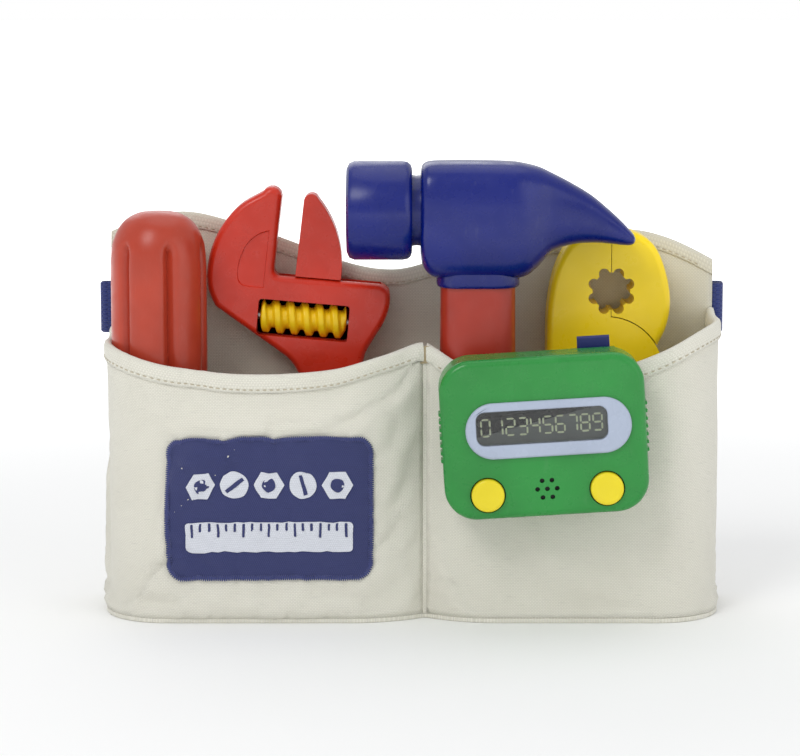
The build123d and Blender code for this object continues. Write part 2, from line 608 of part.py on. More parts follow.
# ---- pliers ---------------------------------------------------------------------------------
PLIERS = front_plane(PLIERS_X, PLIERS_MID_Y, PLIERS_Z)          # at the pivot
MEETING_U = 2.5                  # the jaws meet on this upright line
HOLE_V = 40.6                    # middle of the scalloped grip hole
HOLE_R = 9.0
PIVOT_R = 5.0
LEFT_JAW = [(MEETING_U - 0.15, 69.5), (-9, 68.6), (-18, 63), (-24.5, 50), (-27.6, 34), (-28.2, 18),
            (-28.2, 0)]
RIGHT_JAW = [(MEETING_U + 0.15, 69.5), (13, 69), (22.5, 63), (28, 52), (31, 36.8), (29.4, 24),
             (25, 14)]


def jaw_sketch(points):
    """Front view of one jaw: its curved outer edge, closed through the pivot."""
    with BuildSketch(PLIERS) as sketch:
        with BuildLine():
            Spline(*points)
            Polyline(points[-1], (points[0][0], 0), points[0])
        make_face()
    return sketch.sketch


def grip_hole():
    """Scalloped hole between the jaws."""
    with BuildSketch(PLIERS) as sketch:
        with Locations((MEETING_U, HOLE_V)):
            Circle(HOLE_R)
            with PolarLocations(HOLE_R, 8, start_angle=22.5):
                Circle(2.6)
    return sketch.sketch


def leg_sketch(side):
    """Front view of one handle; side is +1 for the one on the right."""
    with BuildSketch(PLIERS) as sketch:
        with BuildLine():
            Spline((27 * side, -8), (33 * side, -45), (29 * side, -101))
            ThreePointArc((29 * side, -101), (21 * side, -108.8), (13 * side, -101))
            Spline((13 * side, -101), (15.5 * side, -50), (7 * side, -27))
            Polyline((7 * side, -27), (0, 0), (27 * side, -8))
        make_face()
    return sketch.sketch


with BuildPart() as plier_left:
    extrude(jaw_sketch(LEFT_JAW), amount=PLIERS_DEPTH / 2, both=True)
    extrude(leg_sketch(1), amount=PLIERS_DEPTH / 2, both=True)
    extrude(discs(PLIERS, [(0, 0)], DISC_R + 0.5), amount=-PLIERS_DEPTH, mode=Mode.SUBTRACT)
    extrude(discs(PLIERS, [(0, 0)], DISC_R), amount=PLIERS_DEPTH / 2)
    extrude(grip_hole(), amount=PLIERS_DEPTH, both=True, mode=Mode.SUBTRACT)
    extrude(discs(PLIERS, [(0, 0)], PIVOT_R), amount=PLIERS_DEPTH, both=True, mode=Mode.SUBTRACT)
save(plier_left, "plier_left")

with BuildPart() as plier_right:
    extrude(jaw_sketch(RIGHT_JAW), amount=PLIERS_DEPTH / 2, both=True)
    extrude(leg_sketch(-1), amount=PLIERS_DEPTH / 2, both=True)
    extrude(discs(PLIERS.offset(-GAP), [(0, 0)], DISC_R + 0.5), amount=PLIERS_DEPTH,
            mode=Mode.SUBTRACT)
    extrude(discs(PLIERS.offset(-GAP), [(0, 0)], DISC_R), amount=GAP - PLIERS_DEPTH / 2)
    extrude(grip_hole(), amount=PLIERS_DEPTH, both=True, mode=Mode.SUBTRACT)
    extrude(discs(PLIERS, [(0, 0)], PIVOT_R + RUNNING), amount=PLIERS_DEPTH, both=True,
            mode=Mode.SUBTRACT)
save(plier_right, "plier_right")

with BuildPart() as plier_pivot:
    extrude(discs(PLIERS, [(0, 0)], PIVOT_R), amount=PLIERS_DEPTH / 2 + 0.2, both=True)
    extrude(discs(PLIERS.offset(PLIERS_DEPTH / 2), [(0, 0)], 9), amount=2)
    extrude(discs(PLIERS.offset(-PLIERS_DEPTH / 2 - 0.2), [(0, 0)], 9), amount=-1.2)
save(plier_pivot, "plier_pivot")

# ---- pager ----------------------------------------------------------------------------------
BEZEL_AT = (2.0, 4.2)
WINDOW_AT = (-1.0, 5.4)
WINDOW_SIZE = (60.0, 15.5)
BUTTON_U, BUTTON_V = 27.3, -25.4
BUTTON_R = 7.9
BUTTONS = [(-BUTTON_U, BUTTON_V), (BUTTON_U, BUTTON_V)]
SPEAKER_AT = (0.0, -24.0)
BATTERY_BOX_AT = (-10.0, -12.0)
BATTERY_BOX = (50.0, 26.0)
BATTERY_R = 5.2
BATTERY_LENGTH = 44.5
SCREW_SPOTS = [(-40, -30), (40, -30), (-40, 30), (40, 30)]
CLIP_U = 26.0
CLIP_WIDTH = 15.0
CLIP_V = 33.0
CLIP_Y = -34.3
CLIP_PIN_R = 1.5
CLIP_BARREL_R = 3.0


def pager_plane(y):
    """Plane of the pager that faces the front at depth y."""
    return front_plane(PAGER_X, y, PAGER_Z, PAGER_TILT)


def across_pager(u):
    """Plane square to the pager's width at u: its x is depth, forwards, and its y is up."""
    middle = pager_plane(0)
    return Plane(origin=middle.from_local_coords((u, 0, 0)), x_dir=(0, -1, 0),
                 z_dir=-middle.x_dir)


with BuildPart() as back_shell:
    extrude(panel(pager_plane(PAGER_BACK_Y), PAGER_WIDTH, PAGER_HEIGHT, 15),
            amount=PAGER_BACK_Y - PAGER_SPLIT_Y)
    fillet(back_shell.faces().sort_by(Axis.Y)[-1].edges(), 1.6)
    extrude(panel(pager_plane(PAGER_BACK_Y - PAGER_WALL), PAGER_WIDTH - 2 * PAGER_WALL,
                  PAGER_HEIGHT - 2 * PAGER_WALL, 13), amount=20, mode=Mode.SUBTRACT)
    with BuildSketch(pager_plane(PAGER_BACK_Y - PAGER_WALL)):
        with Locations(BATTERY_BOX_AT):
            Rectangle(BATTERY_BOX[0] + 3, BATTERY_BOX[1] + 3)
            Rectangle(*BATTERY_BOX, mode=Mode.SUBTRACT)
    extrude(amount=12)
    extrude(discs(pager_plane(PAGER_BACK_Y - PAGER_WALL), SCREW_SPOTS, 3.5),
            amount=PAGER_BACK_Y - PAGER_WALL - PAGER_SPLIT_Y)
    extrude(discs(pager_plane(PAGER_BACK_Y), SCREW_SPOTS, 1.3), amount=20, mode=Mode.SUBTRACT)
    extrude(discs(pager_plane(PAGER_BACK_Y), SCREW_SPOTS, 2.6), amount=3, mode=Mode.SUBTRACT)
    with BuildSketch(pager_plane(PAGER_BACK_Y)):
        with Locations(BATTERY_BOX_AT):
            Rectangle(BATTERY_BOX[0] - 4, BATTERY_BOX[1] - 4)
    extrude(amount=PAGER_WALL, mode=Mode.SUBTRACT)
    # two lugs that hold the pin of the belt clip
    for edge in (CLIP_U - CLIP_WIDTH / 2 - 0.3, CLIP_U + CLIP_WIDTH / 2 + 2.5):
        with BuildSketch(across_pager(edge)):
            with Locations(((-PAGER_BACK_Y - CLIP_Y) / 2 - 1.5, CLIP_V)):
                Rectangle(-PAGER_BACK_Y + CLIP_Y + 5, 6)
            with Locations((-CLIP_Y, CLIP_V)):
                Circle(CLIP_PIN_R, mode=Mode.SUBTRACT)
        extrude(amount=2.2)
save(back_shell, "pager_back_shell")

with BuildPart() as front_shell:
    extrude(panel(pager_plane(PAGER_SPLIT_Y), PAGER_WIDTH, PAGER_HEIGHT, 15),
            amount=PAGER_SPLIT_Y - PAGER_FRONT_Y)
    fillet(front_shell.faces().sort_by(Axis.Y)[0].edges(), 3.5)
    extrude(panel(pager_plane(PAGER_SPLIT_Y), PAGER_WIDTH - 2 * PAGER_WALL,
                  PAGER_HEIGHT - 2 * PAGER_WALL, 13),
            amount=PAGER_SPLIT_Y - PAGER_FRONT_Y - PAGER_WALL, mode=Mode.SUBTRACT)
    extrude(discs(pager_plane(PAGER_SPLIT_Y), SCREW_SPOTS, 3.5),
            amount=PAGER_SPLIT_Y - PAGER_FRONT_Y - PAGER_WALL)
    extrude(discs(pager_plane(PAGER_SPLIT_Y), SCREW_SPOTS, 1.3), amount=6, mode=Mode.SUBTRACT)
    extrude(panel(pager_plane(PAGER_SPLIT_Y), 70, 20, 8, BEZEL_AT), amount=30, mode=Mode.SUBTRACT)
    extrude(discs(pager_plane(PAGER_SPLIT_Y), BUTTONS, BUTTON_R + GAP), amount=30,
            mode=Mode.SUBTRACT)
    with BuildSketch(pager_plane(PAGER_SPLIT_Y)):
        with Locations(SPEAKER_AT):
            with PolarLocations(4.5, 6):
                Circle(1.1)
            Circle(1.1)
    extrude(amount=30, mode=Mode.SUBTRACT)
save(front_shell, "pager_front_shell")

with BuildPart() as display_bezel:
    extrude(panel(pager_plane(PAGER_FRONT_Y), 76, 26, 12.9, BEZEL_AT), amount=2.2)
    fillet(display_bezel.faces().sort_by(Axis.Y)[0].edges(), 1.4)
    extrude(panel(pager_plane(PAGER_FRONT_Y), 70, 20, 8, BEZEL_AT), amount=-2.5)
    extrude(panel(pager_plane(PAGER_FRONT_Y), *WINDOW_SIZE, 4, WINDOW_AT), amount=10, both=True,
            mode=Mode.SUBTRACT)
save(display_bezel, "display_bezel")

with BuildPart() as display_window:
    extrude(panel(pager_plane(PAGER_FRONT_Y), *WINDOW_SIZE, 4, WINDOW_AT), amount=1.2)
save(display_window, "display_window")

with BuildPart() as display_panel:
    extrude(panel(pager_plane(PAGER_FRONT_Y + 3.7), 63, 17.5, 1, WINDOW_AT), amount=1.2)
save(display_panel, "display_panel")

BOARD_Y = -52.4
with BuildPart() as circuit_board:
    extrude(panel(pager_plane(BOARD_Y), 70, 60, 2), amount=1.6)
save(circuit_board, "circuit_board")

with BuildPart() as speaker:
    extrude(discs(pager_plane(PAGER_FRONT_Y + PAGER_WALL + 3.6), [SPEAKER_AT], 10), amount=3.6)
    extrude(discs(pager_plane(PAGER_FRONT_Y + PAGER_WALL + 3.6), [SPEAKER_AT], 6), amount=-1)
save(speaker, "speaker")

for place, label in zip(BUTTONS, ("button_left", "button_right")):
    with BuildPart() as button:
        extrude(discs(pager_plane(PAGER_FRONT_Y + PAGER_WALL + GAP), [place], BUTTON_R),
                amount=PAGER_WALL + GAP + 2.4)
        fillet(button.faces().sort_by(Axis.Y)[0].edges(), 1.2)
        extrude(discs(pager_plane(PAGER_FRONT_Y + PAGER_WALL + GAP), [place], 9.4), amount=-1.3)
    save(button, label)

with BuildPart() as button_pads:
    for place in BUTTONS:
        extrude(panel(pager_plane(BOARD_Y - 1.6), 14, 14, 2, place), amount=0.8)
        extrude(discs(pager_plane(BOARD_Y - 2.4), [place], 3), amount=0.6)
save(button_pads, "button_pads")

with BuildPart() as batteries:
    for row in (-1, 1):
        cell_v = BATTERY_BOX_AT[1] + row * 6.4
        left = BATTERY_BOX_AT[0] - BATTERY_LENGTH / 2
        plane = across_pager(left + BATTERY_LENGTH)
        extrude(discs(plane, [(45.2, cell_v)], BATTERY_R), amount=BATTERY_LENGTH - 1)
        extrude(discs(plane.offset(BATTERY_LENGTH - 1), [(45.2, cell_v)], 1.9), amount=1)
save(batteries, "batteries")

with BuildPart() as battery_contacts:
    for end in (-1, 1):
        plate_u = BATTERY_BOX_AT[0] + end * BATTERY_BOX[0] / 2
        with BuildSketch(across_pager(plate_u if end > 0 else plate_u + 0.6)):
            for row in (-1, 1):
                with Locations((45.2, BATTERY_BOX_AT[1] + row * 6.4)):
                    Rectangle(8, 8)
        extrude(amount=0.6)
save(battery_contacts, "battery_contacts")

DOOR_THICKNESS = 1.5
with BuildPart() as battery_door:
    extrude(panel(pager_plane(PAGER_BACK_Y + DOOR_THICKNESS + 0.1), BATTERY_BOX[0] + 1,
                  BATTERY_BOX[1] + 2, 2, BATTERY_BOX_AT), amount=DOOR_THICKNESS)
    with BuildSketch(pager_plane(PAGER_BACK_Y + DOOR_THICKNESS + 0.1)):
        with Locations(*[(BATTERY_BOX_AT[0], BATTERY_BOX_AT[1] + v) for v in (5, 8, 11)]):
            RectangleRounded(16, 1.2, 0.5)
    extrude(amount=-0.6)
save(battery_door, "battery_door")

with BuildPart() as pager_screws:
    extrude(discs(pager_plane(PAGER_BACK_Y - 3), SCREW_SPOTS, 2.6), amount=-1.6)
    extrude(discs(pager_plane(PAGER_BACK_Y - 3), SCREW_SPOTS, 1.3), amount=12)
save(pager_screws, "pager_screws")

with BuildPart() as belt_clip:
    with BuildSketch(across_pager(CLIP_U + CLIP_WIDTH / 2)):
        with Locations((-CLIP_Y, CLIP_V)):
            Circle(CLIP_BARREL_R)
        with BuildLine():
            Polyline((35.6, CLIP_V), (35.6, 41), (34.6, 42), (33.4, 41.4), (32.6, 37), (29.6, 35),
                     (28.7, 31), (28.7, -6), (29.6, -11), (31, -11), (31.1, -6), (31.1, CLIP_V),
                     (35.6, CLIP_V))
        make_face()
        with Locations((-CLIP_Y, CLIP_V)):
            Circle(CLIP_PIN_R + RUNNING, mode=Mode.SUBTRACT)
    extrude(amount=CLIP_WIDTH)
save(belt_clip, "belt_clip")

with BuildPart() as clip_pin:
    with BuildSketch(across_pager(CLIP_U + CLIP_WIDTH / 2 + 2.5)):
        with Locations((-CLIP_Y, CLIP_V)):
            Circle(CLIP_PIN_R)
    extrude(amount=CLIP_WIDTH + 5)
save(clip_pin, "clip_pin")
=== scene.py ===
"""Toy tool belt: the looks of a canvas pouch, its waist strap, four toy tools and a toy pager.

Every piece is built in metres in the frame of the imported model, with +Z up and the front facing -Y.
Sizes are written in millimetres and turned into metres where a mesh is made.
"""
import logging
import math
from dataclasses import dataclass, field
from enum import Enum
from typing import Callable, Iterable, Iterator, Sequence

import bmesh
import bpy
from mathutils import Matrix, Vector
from mathutils.noise import noise


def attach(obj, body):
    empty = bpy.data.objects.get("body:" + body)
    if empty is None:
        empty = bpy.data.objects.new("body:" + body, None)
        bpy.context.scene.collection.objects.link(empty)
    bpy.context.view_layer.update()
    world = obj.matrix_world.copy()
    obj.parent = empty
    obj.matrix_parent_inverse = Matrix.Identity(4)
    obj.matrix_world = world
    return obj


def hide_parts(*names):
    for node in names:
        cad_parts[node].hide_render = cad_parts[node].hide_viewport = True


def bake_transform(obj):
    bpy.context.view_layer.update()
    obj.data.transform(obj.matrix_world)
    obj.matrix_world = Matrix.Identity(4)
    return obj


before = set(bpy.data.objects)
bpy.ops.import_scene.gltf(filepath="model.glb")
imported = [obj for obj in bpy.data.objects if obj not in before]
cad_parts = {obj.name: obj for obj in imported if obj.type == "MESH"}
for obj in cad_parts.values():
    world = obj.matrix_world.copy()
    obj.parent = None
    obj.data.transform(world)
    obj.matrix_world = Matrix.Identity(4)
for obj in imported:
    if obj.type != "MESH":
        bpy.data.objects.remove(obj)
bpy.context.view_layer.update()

LOG = logging.getLogger("tool_belt")
MM = 0.001          # one millimetre, in metres
WELD = 2e-6         # vertices nearer than this are merged
ON_PLANE = 1e-7     # a vertex nearer than this to a cutting plane lies on it
BOTTOM = 2.4        # thickness of the pouch's bottom, in millimetres
THREAD = 0.36       # half the width of sewing thread, in millimetres
SCREW_WELL = 2.75   # radius of the wells that screws sit in, in millimetres
SOFT = 80.0         # cloth and thread have no sharp edge below this many degrees

Point2 = tuple[float, float]
Colour = tuple[float, float, float]


def darker(colour: Colour, share: float) -> Colour:
    """Return a colour with each channel cut down to a share of itself."""
    return tuple(channel * share for channel in colour)


# Finishes
class Graph:
    """A material's node tree, with short ways to add and join nodes."""

    def __init__(self, name: str) -> None:
        """Start an empty material with one Principled shader.

        Args:
            name: name of the material.
        """
        self.material = bpy.data.materials.new(name)
        self.material.use_nodes = True
        self.nodes = self.material.node_tree.nodes
        self.links = self.material.node_tree.links
        self.shader = self.nodes["Principled BSDF"]

    def add(self, kind: str, inputs: dict[str | int, object] | None = None, **settings: object):
        """Add a node.

        Args:
            kind: the node's type, without the ShaderNode prefix.
            inputs: socket name or number to a value, or to a socket to link from.
            settings: properties of the node.

        Returns:
            The new node.
        """
        node = self.nodes.new("ShaderNode" + kind)
        for key, value in settings.items():
            setattr(node, key, value)
        for key, value in (inputs or {}).items():
            if isinstance(value, bpy.types.NodeSocket):
                self.links.new(value, node.inputs[key])
            else:
                node.inputs[key].default_value = value
        return node

    def maths(self, operation: str, first: object, second: object = 0.0):
        """Add a Math node and return its output socket."""
        return self.add("Math", {0: first, 1: second}, operation=operation).outputs[0]

    def ramp(self, source: object, low: float, high: float, to_low: float, to_high: float):
        """Map a value from one range to another, smoothly, and return the output socket."""
        node = self.add("MapRange", {"Value": source, "From Min": low, "From Max": high,
                                     "To Min": to_low, "To Max": to_high},
                        interpolation_type="SMOOTHSTEP")
        return node.outputs[0]

    def blend(self, factor: object, first: object, second: object):
        """Mix two colours and return the output socket."""
        node = self.add("Mix", data_type="RGBA")
        for socket, value in zip((node.inputs[0], node.inputs[6], node.inputs[7]),
                                 (factor, first, second)):
            if isinstance(value, bpy.types.NodeSocket):
                self.links.new(value, socket)
            else:
                socket.default_value = (*value, 1.0) if isinstance(value, tuple) else value
        return node.outputs[2]

    def object_noise(self, scale: float, detail: float = 2.0, stretch: Sequence[float] = (1, 1, 1)):
        """Noise in object coordinates and return its value socket.

        Args:
            scale: noise scale per metre.
            detail: octaves of the noise.
            stretch: scale of each axis.
        """
        place = self.add("TexCoord").outputs["Object"]
        if tuple(stretch) != (1, 1, 1):
            place = self.add("Mapping", {"Vector": place, "Scale": tuple(stretch)}).outputs[0]
        return self.add("TexNoise", {"Vector": place, "Scale": scale, "Detail": detail}).outputs[0]

    def bump(self, height: object, distance: float, strength: float = 1.0, below: object = None):
        """Add a Bump node over an optional earlier normal and return its normal socket."""
        inputs: dict[str | int, object] = {"Height": height, "Distance": distance,
                                           "Strength": strength}
        if below is not None:
            inputs["Normal"] = below
        return self.add("Bump", inputs).outputs[0]

    def set(self, **sockets: object) -> None:
        """Set or link sockets of the shader; underscores in a name stand for spaces."""
        for key, value in sockets.items():
            socket = self.shader.inputs[key.replace("_", " ")]
            if isinstance(value, bpy.types.NodeSocket):
                self.links.new(value, socket)
            else:
                socket.default_value = value


class Finish:
    """Base of every finish: makes its material once and hands out the same one afterwards."""

    _made: dict[str, bpy.types.Material] = {}
    name: str

    def material(self) -> bpy.types.Material:
        """Return this finish's material, making it the first time."""
        if self.name not in Finish._made:
            graph = Graph(self.name)
            self.dress(graph)
            Finish._made[self.name] = graph.material
        return Finish._made[self.name]

    def dress(self, graph: Graph) -> None:
        """Fill in the node tree."""
        raise NotImplementedError


@dataclass(frozen=True)
class MouldedPlastic(Finish):
    """Glossy or satin moulded plastic with faint texture, flow shading and handling marks."""

    name: str
    colour: Colour
    roughness: float = 0.32
    shade: float = 0.82
    grain: float = 0.02

    def dress(self, graph: Graph) -> None:
        """Colour drifts slowly, gloss is broken by fine scuffs, and the skin is lightly textured."""
        drift = graph.object_noise(28.0, 3.0)
        body = graph.blend(graph.ramp(drift, 0.3, 0.7, 0.0, 1.0), darker(self.colour, self.shade),
                           self.colour)
        scuffs = graph.object_noise(420.0, 4.0, (1.0, 1.0, 0.25))
        scuffed = graph.blend(graph.ramp(scuffs, 0.62, 0.76, 0.0, 0.08), body,
                              tuple(min(1.0, channel * 0.75 + 0.14) for channel in self.colour))
        rough = graph.ramp(graph.object_noise(160.0, 4.0), 0.3, 0.75,
                           self.roughness * 0.82, self.roughness * 1.3)
        skin = graph.bump(graph.object_noise(2600.0, 2.0), self.grain * MM, 0.5)
        sink = graph.bump(graph.object_noise(60.0, 1.0), 0.12 * MM, 0.15, skin)
        graph.set(Base_Color=scuffed, Roughness=rough, Normal=sink, Specular_IOR_Level=0.38,
                  Coat_Weight=0.08, Coat_Roughness=0.18)


@dataclass(frozen=True)
class WovenCloth(Finish):
    """Plain weave cloth whose threads follow the piece's own UV map, laid out in metres."""

    name: str
    warp: Colour
    weft: Colour
    pitch: float = 0.75
    stretch: float = 1.0
    relief: float = 0.16
    roughness: float = 0.92
    sheen: float = 0.25
    soil: Colour = (0.55, 0.52, 0.42)
    soil_share: float = 0.22

    def dress(self, graph: Graph) -> None:
        """Warp and weft threads pass over and under each other, with slubs, slight soiling and
        painted shade where the threads dip.
        """
        place = graph.add("TexCoord").outputs["UV"]
        wander = graph.add("TexNoise", {"Vector": place, "Scale": 120.0, "Detail": 2.0}).outputs[1]
        nudge = graph.add("VectorMath", {0: wander, 1: (0.5, 0.5, 0.5)}, operation="SUBTRACT")
        shift = graph.add("VectorMath", {0: nudge.outputs[0], "Scale": 0.22 * self.pitch * MM},
                          operation="SCALE")
        moved = graph.add("VectorMath", {0: place, 1: shift.outputs[0]}, operation="ADD")
        split = graph.add("SeparateXYZ", {0: moved.outputs[0]})
        across = graph.maths("DIVIDE", split.outputs[0], self.pitch * MM)
        along = graph.maths("DIVIDE", split.outputs[1], self.pitch * self.stretch * MM)
        warp, weft = (graph.maths("ABSOLUTE", graph.maths("SINE", graph.maths(
            "MULTIPLY", way, math.pi))) for way in (across, along))
        parity = graph.maths("ADD", graph.maths("FLOOR", across), graph.maths("FLOOR", along))
        over = graph.maths("PINGPONG", parity, 1.0)
        lift = graph.maths("MULTIPLY", over, 0.55)
        warp_high = graph.maths("MULTIPLY", warp, graph.maths("ADD", lift, 0.45))
        weft_high = graph.maths("MULTIPLY", weft, graph.maths("SUBTRACT", 1.0, lift))
        height = graph.maths("MAXIMUM", warp_high, weft_high)
        slub = graph.add("TexNoise", {"Vector": graph.add("Mapping", {
            "Vector": place, "Scale": (160.0, 1400.0, 1.0)}).outputs[0], "Scale": 1.0,
            "Detail": 2.0}).outputs[0]
        threads = graph.blend(over, self.warp, self.weft)
        fleck = graph.blend(graph.ramp(slub, 0.60, 0.72, 0.0, 0.5), threads,
                            darker(self.warp, 0.80))
        stain = graph.object_noise(16.0, 4.0)
        worn = graph.blend(graph.ramp(stain, 0.48, 0.8, 0.0, self.soil_share), fleck, self.soil)
        # Painted shade: the colour darkens where the threads dip, low in the weave's relief
        shadow = graph.blend(graph.ramp(height, 0.05, 0.7, 0.42, 0.0), worn,
                             darker(self.warp, 0.52))
        relief = graph.bump(height, self.relief * MM, 0.9)
        rumple = graph.bump(graph.object_noise(90.0, 3.0), 0.6 * MM, 0.5, relief)
        graph.set(Base_Color=shadow, Roughness=self.roughness, Normal=rumple,
                  Sheen_Weight=self.sheen, Sheen_Roughness=0.5, Specular_IOR_Level=0.25)


@dataclass(frozen=True)
class TwistedThread(Finish):
    """Sewing thread: soft, ribbed by its twist."""

    name: str
    colour: Colour
    twist: float = 1500.0

    def dress(self, graph: Graph) -> None:
        """Fine diagonal ribs and a dull colour, with painted shade that darkens it in the grooves
        between the ribs.
        """
        place = graph.add("TexCoord").outputs["Object"]
        ribs = graph.add("TexWave", {"Vector": place, "Scale": self.twist, "Distortion": 1.5},
                         bands_direction="DIAGONAL").outputs[1]
        # Painted shade: the ribs that raise the bump also darken the colour where they are low, in
        # the grooves
        tone = graph.blend(ribs, darker(self.colour, 0.72), self.colour)
        graph.set(Base_Color=tone, Roughness=0.78, Normal=graph.bump(ribs, 0.08 * MM),
                  Sheen_Weight=0.3, Specular_IOR_Level=0.3)


@dataclass(frozen=True)
class PlatedSteel(Finish):
    """Zinc-plated screw or pin with fine turning marks."""

    name: str
    colour: Colour = (0.56, 0.56, 0.54)
    roughness: float = 0.34

    def dress(self, graph: Graph) -> None:
        """Metal with streaky roughness and light tarnish."""
        streaks = graph.object_noise(900.0, 3.0, (1.0, 0.12, 1.0))
        tone = graph.blend(graph.ramp(graph.object_noise(300.0, 3.0), 0.4, 0.8, 0.0, 0.4),
                           self.colour, darker(self.colour, 0.6))
        rough = graph.ramp(streaks, 0.3, 0.7, self.roughness * 0.7, self.roughness * 1.4)
        graph.set(Base_Color=tone, Metallic=1.0, Roughness=rough,
                  Normal=graph.bump(streaks, 0.02 * MM, 0.4))


@dataclass(frozen=True)
class ClearLens(Finish):
    """Clear polystyrene window with a soft gloss and a few hairline scratches."""

    name: str
    tint: Colour = (0.90, 0.93, 0.92)

    def dress(self, graph: Graph) -> None:
        """Transmitting plastic, very slightly hazed."""
        hairs = graph.object_noise(700.0, 3.0, (0.15, 1.0, 1.0))
        rough = graph.ramp(hairs, 0.55, 0.8, 0.05, 0.22)
        graph.set(Base_Color=(*self.tint, 1.0), Roughness=rough, Transmission_Weight=1.0, IOR=1.46,
                  Normal=graph.bump(hairs, 0.01 * MM, 0.3))


@dataclass(frozen=True)
class PrintedBoard(Finish):
    """Circuit board: lacquered green with fine copper tracks under the lacquer."""

    name: str
    colour: Colour = (0.02, 0.15, 0.06)

    def dress(self, graph: Graph) -> None:
        """Copper tracks that follow one distorted wave."""
        place = graph.add("TexCoord").outputs["Object"]
        rows = graph.add("TexWave", {"Vector": place, "Scale": 90.0, "Distortion": 6.0,
                                     "Detail": 0.0}, bands_direction="X").outputs[1]
        tracks = graph.ramp(rows, 0.78, 0.84, 0.0, 0.7)
        tone = graph.blend(tracks, self.colour, (0.10, 0.30, 0.12))
        graph.set(Base_Color=tone, Roughness=0.35, Normal=graph.bump(tracks, 0.05 * MM),
                  Coat_Weight=0.4, Coat_Roughness=0.2)


@dataclass(frozen=True)
class StudioPaper(Finish):
    """Plain pale floor of the studio."""

    name: str
    colour: Colour = (0.93, 0.93, 0.92)

    def dress(self, graph: Graph) -> None:
        """Matt paper with painted light: it glows more and more away from the middle, growing to
        plain white.
        """
        tone = graph.blend(graph.object_noise(3.0, 2.0), self.colour, darker(self.colour, 0.985))
        place = graph.add("TexCoord").outputs["Object"]
        reach = graph.add("VectorMath", {0: place}, operation="LENGTH").outputs[1]
        # Painted light: the paper emits white light, none near the middle and more towards the edge
        graph.set(Base_Color=tone, Roughness=0.85, Specular_IOR_Level=0.1,
                  Emission_Color=(1.0, 1.0, 1.0, 1.0),
                  Emission_Strength=graph.ramp(reach, 0.3, 1.8, 0.0, 0.9))


CANVAS = WovenCloth("canvas", (0.80, 0.78, 0.69), (0.74, 0.72, 0.62))
# Painted shade: the back panel and the belt loops are the same cream canvas as the pockets, coloured
# darker to stand for the shade behind the tools
CANVAS_SHADED_BACK = WovenCloth("canvas_back_painted_shade", (0.72, 0.69, 0.58), (0.66, 0.63, 0.52))
LABEL_CLOTH = WovenCloth("label_cloth", (0.030, 0.038, 0.130), (0.042, 0.050, 0.16), 0.5, 2.0, 0.12,
                         0.75, 0.35, (0.12, 0.13, 0.25), 0.15)
LABEL_PALE = WovenCloth("label_pale_weave", (0.72, 0.74, 0.80), (0.66, 0.68, 0.75), 0.5, 2.0, 0.12,
                        0.75, 0.3, (0.6, 0.6, 0.62), 0.1)
STRAP_CLOTH = WovenCloth("strap_webbing", (0.020, 0.034, 0.16), (0.030, 0.048, 0.20), 1.1, 1.8, 0.4,
                         0.8, 0.4, (0.08, 0.09, 0.18), 0.12)
SEAM_THREAD = TwistedThread("seam_thread", (0.62, 0.55, 0.40))
TACK_THREAD = TwistedThread("tack_thread", (0.50, 0.40, 0.24))
EDGE_THREAD = TwistedThread("label_edge_thread", (0.055, 0.07, 0.25), 2200.0)
RED_WRENCH = MouldedPlastic("wrench_red_plastic", (0.64, 0.030, 0.010), 0.30, 0.84)
RED_HANDLE = MouldedPlastic("handle_red_plastic", (0.42, 0.034, 0.017), 0.36, 0.82)
RED_DRIVER = MouldedPlastic("driver_red_plastic", (0.49, 0.050, 0.021), 0.34, 0.80)
GREY_SHAFT = MouldedPlastic("driver_grey_plastic", (0.40, 0.42, 0.45), 0.34)
YELLOW = MouldedPlastic("tool_yellow_plastic", (0.98, 0.71, 0.008), 0.33, 0.92)
YELLOW_WORM = MouldedPlastic("worm_yellow_plastic", (0.98, 0.66, 0.008), 0.34, 0.90)
BLUE = MouldedPlastic("hammer_blue_plastic", (0.002, 0.010, 0.165), 0.28, 0.80)
GREEN = MouldedPlastic("pager_green_plastic", (0.022, 0.27, 0.045), 0.30, 0.84)
BUTTON_YELLOW = MouldedPlastic("button_yellow_plastic", (0.86, 0.70, 0.015), 0.36, 0.90)
NAVY = MouldedPlastic("clip_navy_plastic", (0.012, 0.020, 0.14), THREAD)
BLACK = MouldedPlastic("buckle_black_plastic", (0.016, 0.016, 0.018), 0.42, 0.9, 0.05)
BEZEL = MouldedPlastic("bezel_silver_plastic", (0.42, 0.48, 0.60), 0.26, 0.9, 0.03)
DISPLAY = MouldedPlastic("display_grey", (0.075, 0.085, 0.080), 0.5, 0.9)
DIGIT = MouldedPlastic("display_digit", (0.62, 0.66, 0.42), 0.5, 0.95)
SPEAKER_BLACK = MouldedPlastic("speaker_black", (0.02, 0.02, 0.022), 0.6)
CELL = MouldedPlastic("cell_jacket", (0.06, 0.06, 0.08), 0.3)
RUBBER = MouldedPlastic("pad_rubber", (0.42, 0.43, 0.45), 0.7)
STEEL = PlatedSteel("plated_steel")
LENS = ClearLens("display_lens")
BOARD = PrintedBoard("circuit_board")
PAPER = StudioPaper("studio_paper")


# Shapes
@dataclass(frozen=True)
class Upright:
    """Plane that faces the front: u runs right and v up, turned anticlockwise by tilt degrees."""

    x: float
    z: float
    tilt: float = 0.0

    def at(self, u: float, v: float, y: float) -> Vector:
        """Return the point at u, v and depth y, in metres."""
        turn = math.radians(self.tilt)
        return Vector((self.x + u * math.cos(turn) - v * math.sin(turn), y,
                       self.z + u * math.sin(turn) + v * math.cos(turn))) * MM


